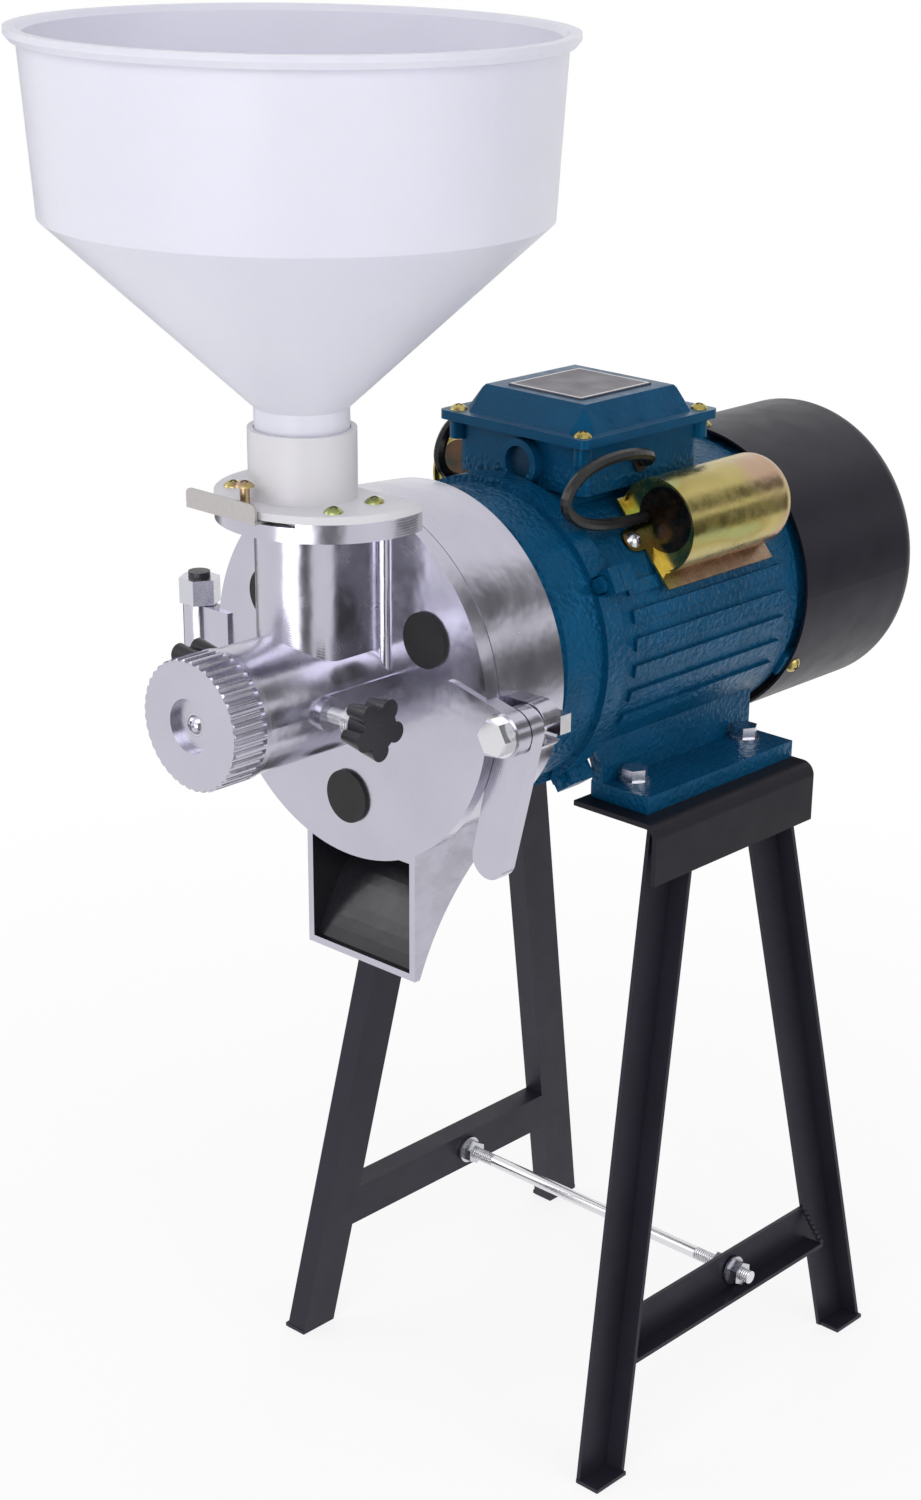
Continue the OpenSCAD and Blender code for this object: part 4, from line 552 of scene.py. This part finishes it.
# %% Dress every piece
finishes = dict(
    satin_black=satin_black, fan_black=fan_black, motor_blue=motor_blue,
    plug_blue=plug_blue, cast_aluminium=cast_aluminium, knob_metal=knob_metal,
    zinc_steel=zinc_steel, chrome_rod=chrome_rod, yellow_zinc=yellow_zinc,
    machined_steel=machined_steel, core_steel=core_steel, plate_iron=plate_iron,
    plate_metal=plate_metal, copper=copper, black_plastic=black_plastic,
    cap_plastic=cap_plastic, black_rubber=black_rubber, lead_rubber=lead_rubber,
    white_plastic=white_plastic, hopper_plastic=hopper_plastic)
for piece in machine["record"]["subparts"]:
    part[piece["node"]].material_slots[0].material = finishes[piece["material_slot"]]
own_finish = dict(
    chute=chute_aluminium, feed_gate=sheet_steel, tie_rod=threaded_rod,
    hinge_pin=oxide_black, lock_knob_right=star_knob, lock_knob_left=star_knob,
    bell_bolts=motor_blue, rail_right=rail_black, rail_left=rail_black)
for name, finish in own_finish.items():
    part[name].material_slots[0].material = finish

# %% [markdown]
# Real edges are never perfectly sharp, and the light that they catch makes metal look
# solid. A narrow bevel is added to the cast, bent and moulded pieces as a modifier.

# %% Soften the edges
def soften(names, width):
    """Rounds the sharp edges of the named pieces by a width in metres."""
    for name in names:
        bevel = part[name].modifiers.new("worn_edge", "BEVEL")
        bevel.width = width
        bevel.segments = 2
        bevel.limit_method = "ANGLE"
        bevel.angle_limit = math.radians(40)
        bevel.harden_normals = True


soften(["front_cover", "drum", "chute", "latch_lever", "feed_collar"], 0.0008)
soften(["box_lid", "terminal_box", "front_bell", "lock_knob_right", "lock_knob_left"], 0.0008)
soften(["rail_right", "rail_left", "crossbar_right", "crossbar_left", "feed_gate"], 0.0004)
print("softened the edges of", len([o for o in part.values() if o.modifiers]), "pieces")

# %% [markdown]
# The stand is welded, and the paint went over the welds. Each crossbar is joined to
# its legs by a short bead, which is a row of overlapping drops. The row follows the
# slanted end of the bar: the end is found among the mesh's own points, as the one
# furthest along the machine near the bar's foot and near its top.

# %% Weld beads at the crossbars
SAME_LEVEL = 0.004
DROP_RADIUS = 0.0017


def bar_end(node, way, top):
    """The point of a bar that lies furthest along, near its top or its foot."""
    low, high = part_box(node)
    level = high[2] if top else low[2]
    near = [v.co for v in part[node].data.vertices if abs(v.co.z - level) < SAME_LEVEL]
    return max(near, key=lambda spot: (round(way * spot.y, 4), abs(spot.x)))


def weld_bead(name, start, end, drops=7):
    """A row of drops from start to end, each a little wider or narrower."""
    bead = bmesh.new()
    for i in range(drops):
        share = i / (drops - 1)
        drop = bmesh.ops.create_icosphere(bead, subdivisions=2, radius=DROP_RADIUS)
        middle = start.lerp(end, share)
        for vert in drop["verts"]:
            vert.co.x = vert.co.x * (1.0 + 0.15 * math.sin(5 * i)) + middle.x
            vert.co.y = vert.co.y * 1.1 + middle.y
            vert.co.z = vert.co.z * 1.3 + middle.z
    mesh = bpy.data.meshes.new(name)
    bead.to_mesh(mesh)
    bead.free()
    for face in mesh.polygons:
        face.use_smooth = True
    mesh.materials.append(satin_black)
    piece = bpy.data.objects.new(name, mesh)
    bpy.context.collection.objects.link(piece)
    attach(piece, "base")


for bar in ("crossbar_right", "crossbar_left"):
    for way, place in ((-1, "front"), (1, "rear")):
        foot, head = bar_end(bar, way, False), bar_end(bar, way, True)
        start, end = foot.lerp(head, 0.12), foot.lerp(head, 0.85)
        weld_bead("weld_" + bar + "_" + place, start, end)
print("laid four weld beads")

# %% [markdown]
# The studio is white all round. The camera, mirrors and clear things see it at full
# white, while the light that it gives is softer. In an all-white room polished metal
# would look flat, so photographers hang dark cards beside it. The cards here are
# soft dark areas of the surround that only reflections see. Each is given by its
# direction, in degrees round from the right side towards the back and degrees above
# the level, by half its width and height in degrees, and by how dark it is.

# %% White surround with dark cards
SOFT_LIGHT = 0.58
SIDE_BLUR, TOP_BLUR = 9, 6
DARK_CARDS = [
    ("behind on the right, high", 52, 28, 14, 8, 0.82),
    ("behind on the right, low", 48, -5, 14, 10, 0.86),
    ("beside the camera", -46, -18, 13, 40, 0.86),
    ("on the left, low", 157, -13, 14, 13, 0.80)]


def edge_of(net, angle, middle, half, soft):
    """1 inside an angle's card and 0 outside, with a soft edge in degrees."""
    off = math_node(net, "ABSOLUTE", math_node(net, "SUBTRACT", angle, math.radians(middle)))
    fade = net.nodes.new("ShaderNodeMapRange")
    fade.interpolation_type = "SMOOTHSTEP"
    fade.inputs["From Min"].default_value = math.radians(half + soft)
    fade.inputs["From Max"].default_value = math.radians(half)
    net.links.new(off, fade.inputs["Value"])
    return fade.outputs["Result"]


world = bpy.data.worlds.new("white_surround")
bpy.context.scene.world = world
world.use_nodes = True
net = world.node_tree
look = axes(net, net.nodes.new("ShaderNodeTexCoord").outputs["Generated"])
around = math_node(net, "ARCTAN2", look["Y"], look["X"])
above = math_node(net, "ARCSINE", look["Z"])
dark = 0.0
for name, side, height, half_w, half_h, depth in DARK_CARDS:
    across = edge_of(net, around, side, half_w, SIDE_BLUR)
    upright = edge_of(net, above, height, half_h, TOP_BLUR)
    card = math_node(net, "MULTIPLY", across, upright)
    dark = math_node(net, "MAXIMUM", dark, math_node(net, "MULTIPLY", card, depth))
path = net.nodes.new("ShaderNodeLightPath").outputs
mirrored = math_node(net, "MULTIPLY", path["Is Glossy Ray"], math_node(net, "SUBTRACT", 1, dark))
seen = math_node(net, "MAXIMUM", path["Is Camera Ray"], path["Is Transmission Ray"])
soft_light = math_node(net, "MULTIPLY", path["Is Diffuse Ray"], SOFT_LIGHT)
strength = math_node(net, "MAXIMUM", math_node(net, "MAXIMUM", seen, mirrored), soft_light)
surround = net.nodes["Background"].inputs
surround["Color"].default_value = (1, 1, 1, 1)
net.links.new(strength, surround["Strength"])
print("hung", len(DARK_CARDS), "dark cards")

# %% [markdown]
# The floor is a pale sheet that shows a faint shadow under the machine. Further out
# it gives its own white, so that it runs into the surround without a line.

# %% Floor
HALF_FLOOR = 6.0
UNDER_FEET = -0.0005
NEAR, FAR = 0.35, 1.1
NEAR_WHITE, FAR_WHITE = 0.82, 1.0
sheet = bmesh.new()
bmesh.ops.create_grid(sheet, x_segments=8, y_segments=8, size=HALF_FLOOR)
floor_mesh = bpy.data.meshes.new("floor")
sheet.to_mesh(floor_mesh)
sheet.free()
floor = bpy.data.objects.new("floor", floor_mesh)
floor.location.z = UNDER_FEET
bpy.context.collection.objects.link(floor)
paper, net, shader = start_finish("pale_paper", (0.94, 0.94, 0.94), 0.8)
spot = axes(net)
squares = (math_node(net, "POWER", spot[axis], 2) for axis in "XY")
far = math_node(net, "SQRT", math_node(net, "ADD", *squares))
own_white = between(net, far, NEAR_WHITE, FAR_WHITE, NEAR, FAR)
path = net.nodes.new("ShaderNodeLightPath").outputs
seen = math_node(net, "MAXIMUM", path["Is Camera Ray"], path["Is Transmission Ray"])
glow = net.nodes.new("ShaderNodeEmission")
blend = net.nodes.new("ShaderNodeMixShader")
net.links.new(math_node(net, "MULTIPLY", seen, own_white), blend.inputs["Fac"])
net.links.new(shader.outputs["BSDF"], blend.inputs[1])
net.links.new(glow.outputs["Emission"], blend.inputs[2])
net.links.new(blend.outputs["Shader"], net.nodes["Material Output"].inputs["Surface"])
relief(net, shader, grain(net, 300), 0.0001)
floor_mesh.materials.append(paper)
floor.visible_glossy = False
print("floor is", 2 * HALF_FLOOR, "m wide")

# %% [markdown]
# Five large soft lamps light the machine. The key stands in front on the right, a
# fill on the left opens the shadows, and the ones at the side and behind draw soft
# bright lines along the hopper, the motor and the legs. A weak one near the floor
# lights the hopper from below. Large lamps matter here: a small one of the same
# power would burn white spots into the metal. The one behind isn't seen in mirrors,
# because the top of the polished drum would show it as a white patch.

# %% Soft lamps
MACHINE_MIDDLE = Vector((0, 0, 0.45))


def soft_lamp(name, spot, width, power, in_mirrors=True):
    """A wide lamp of so many watts that looks at the machine's middle."""
    light = bpy.data.lights.new(name, "AREA")
    light.shape = "RECTANGLE"
    light.size = width
    light.size_y = width * 0.7
    light.energy = power
    lamp = bpy.data.objects.new(name, light)
    lamp.location = spot
    aim = MACHINE_MIDDLE - Vector(spot)
    lamp.rotation_euler = aim.to_track_quat("-Z", "Y").to_euler()
    lamp.visible_glossy = in_mirrors
    bpy.context.collection.objects.link(lamp)


soft_lamp("key_lamp", (1.0, -2.1, 2.3), 2.2, 24)
soft_lamp("fill_lamp", (-1.9, -1.4, 1.5), 1.6, 9)
soft_lamp("side_lamp", (2.3, 0.1, 1.3), 1.4, 10)
soft_lamp("back_lamp", (-0.6, 1.9, 2.0), 1.8, 7, in_mirrors=False)
soft_lamp("low_lamp", (0.5, -1.9, 0.15), 1.2, 9)
print("five lamps set")
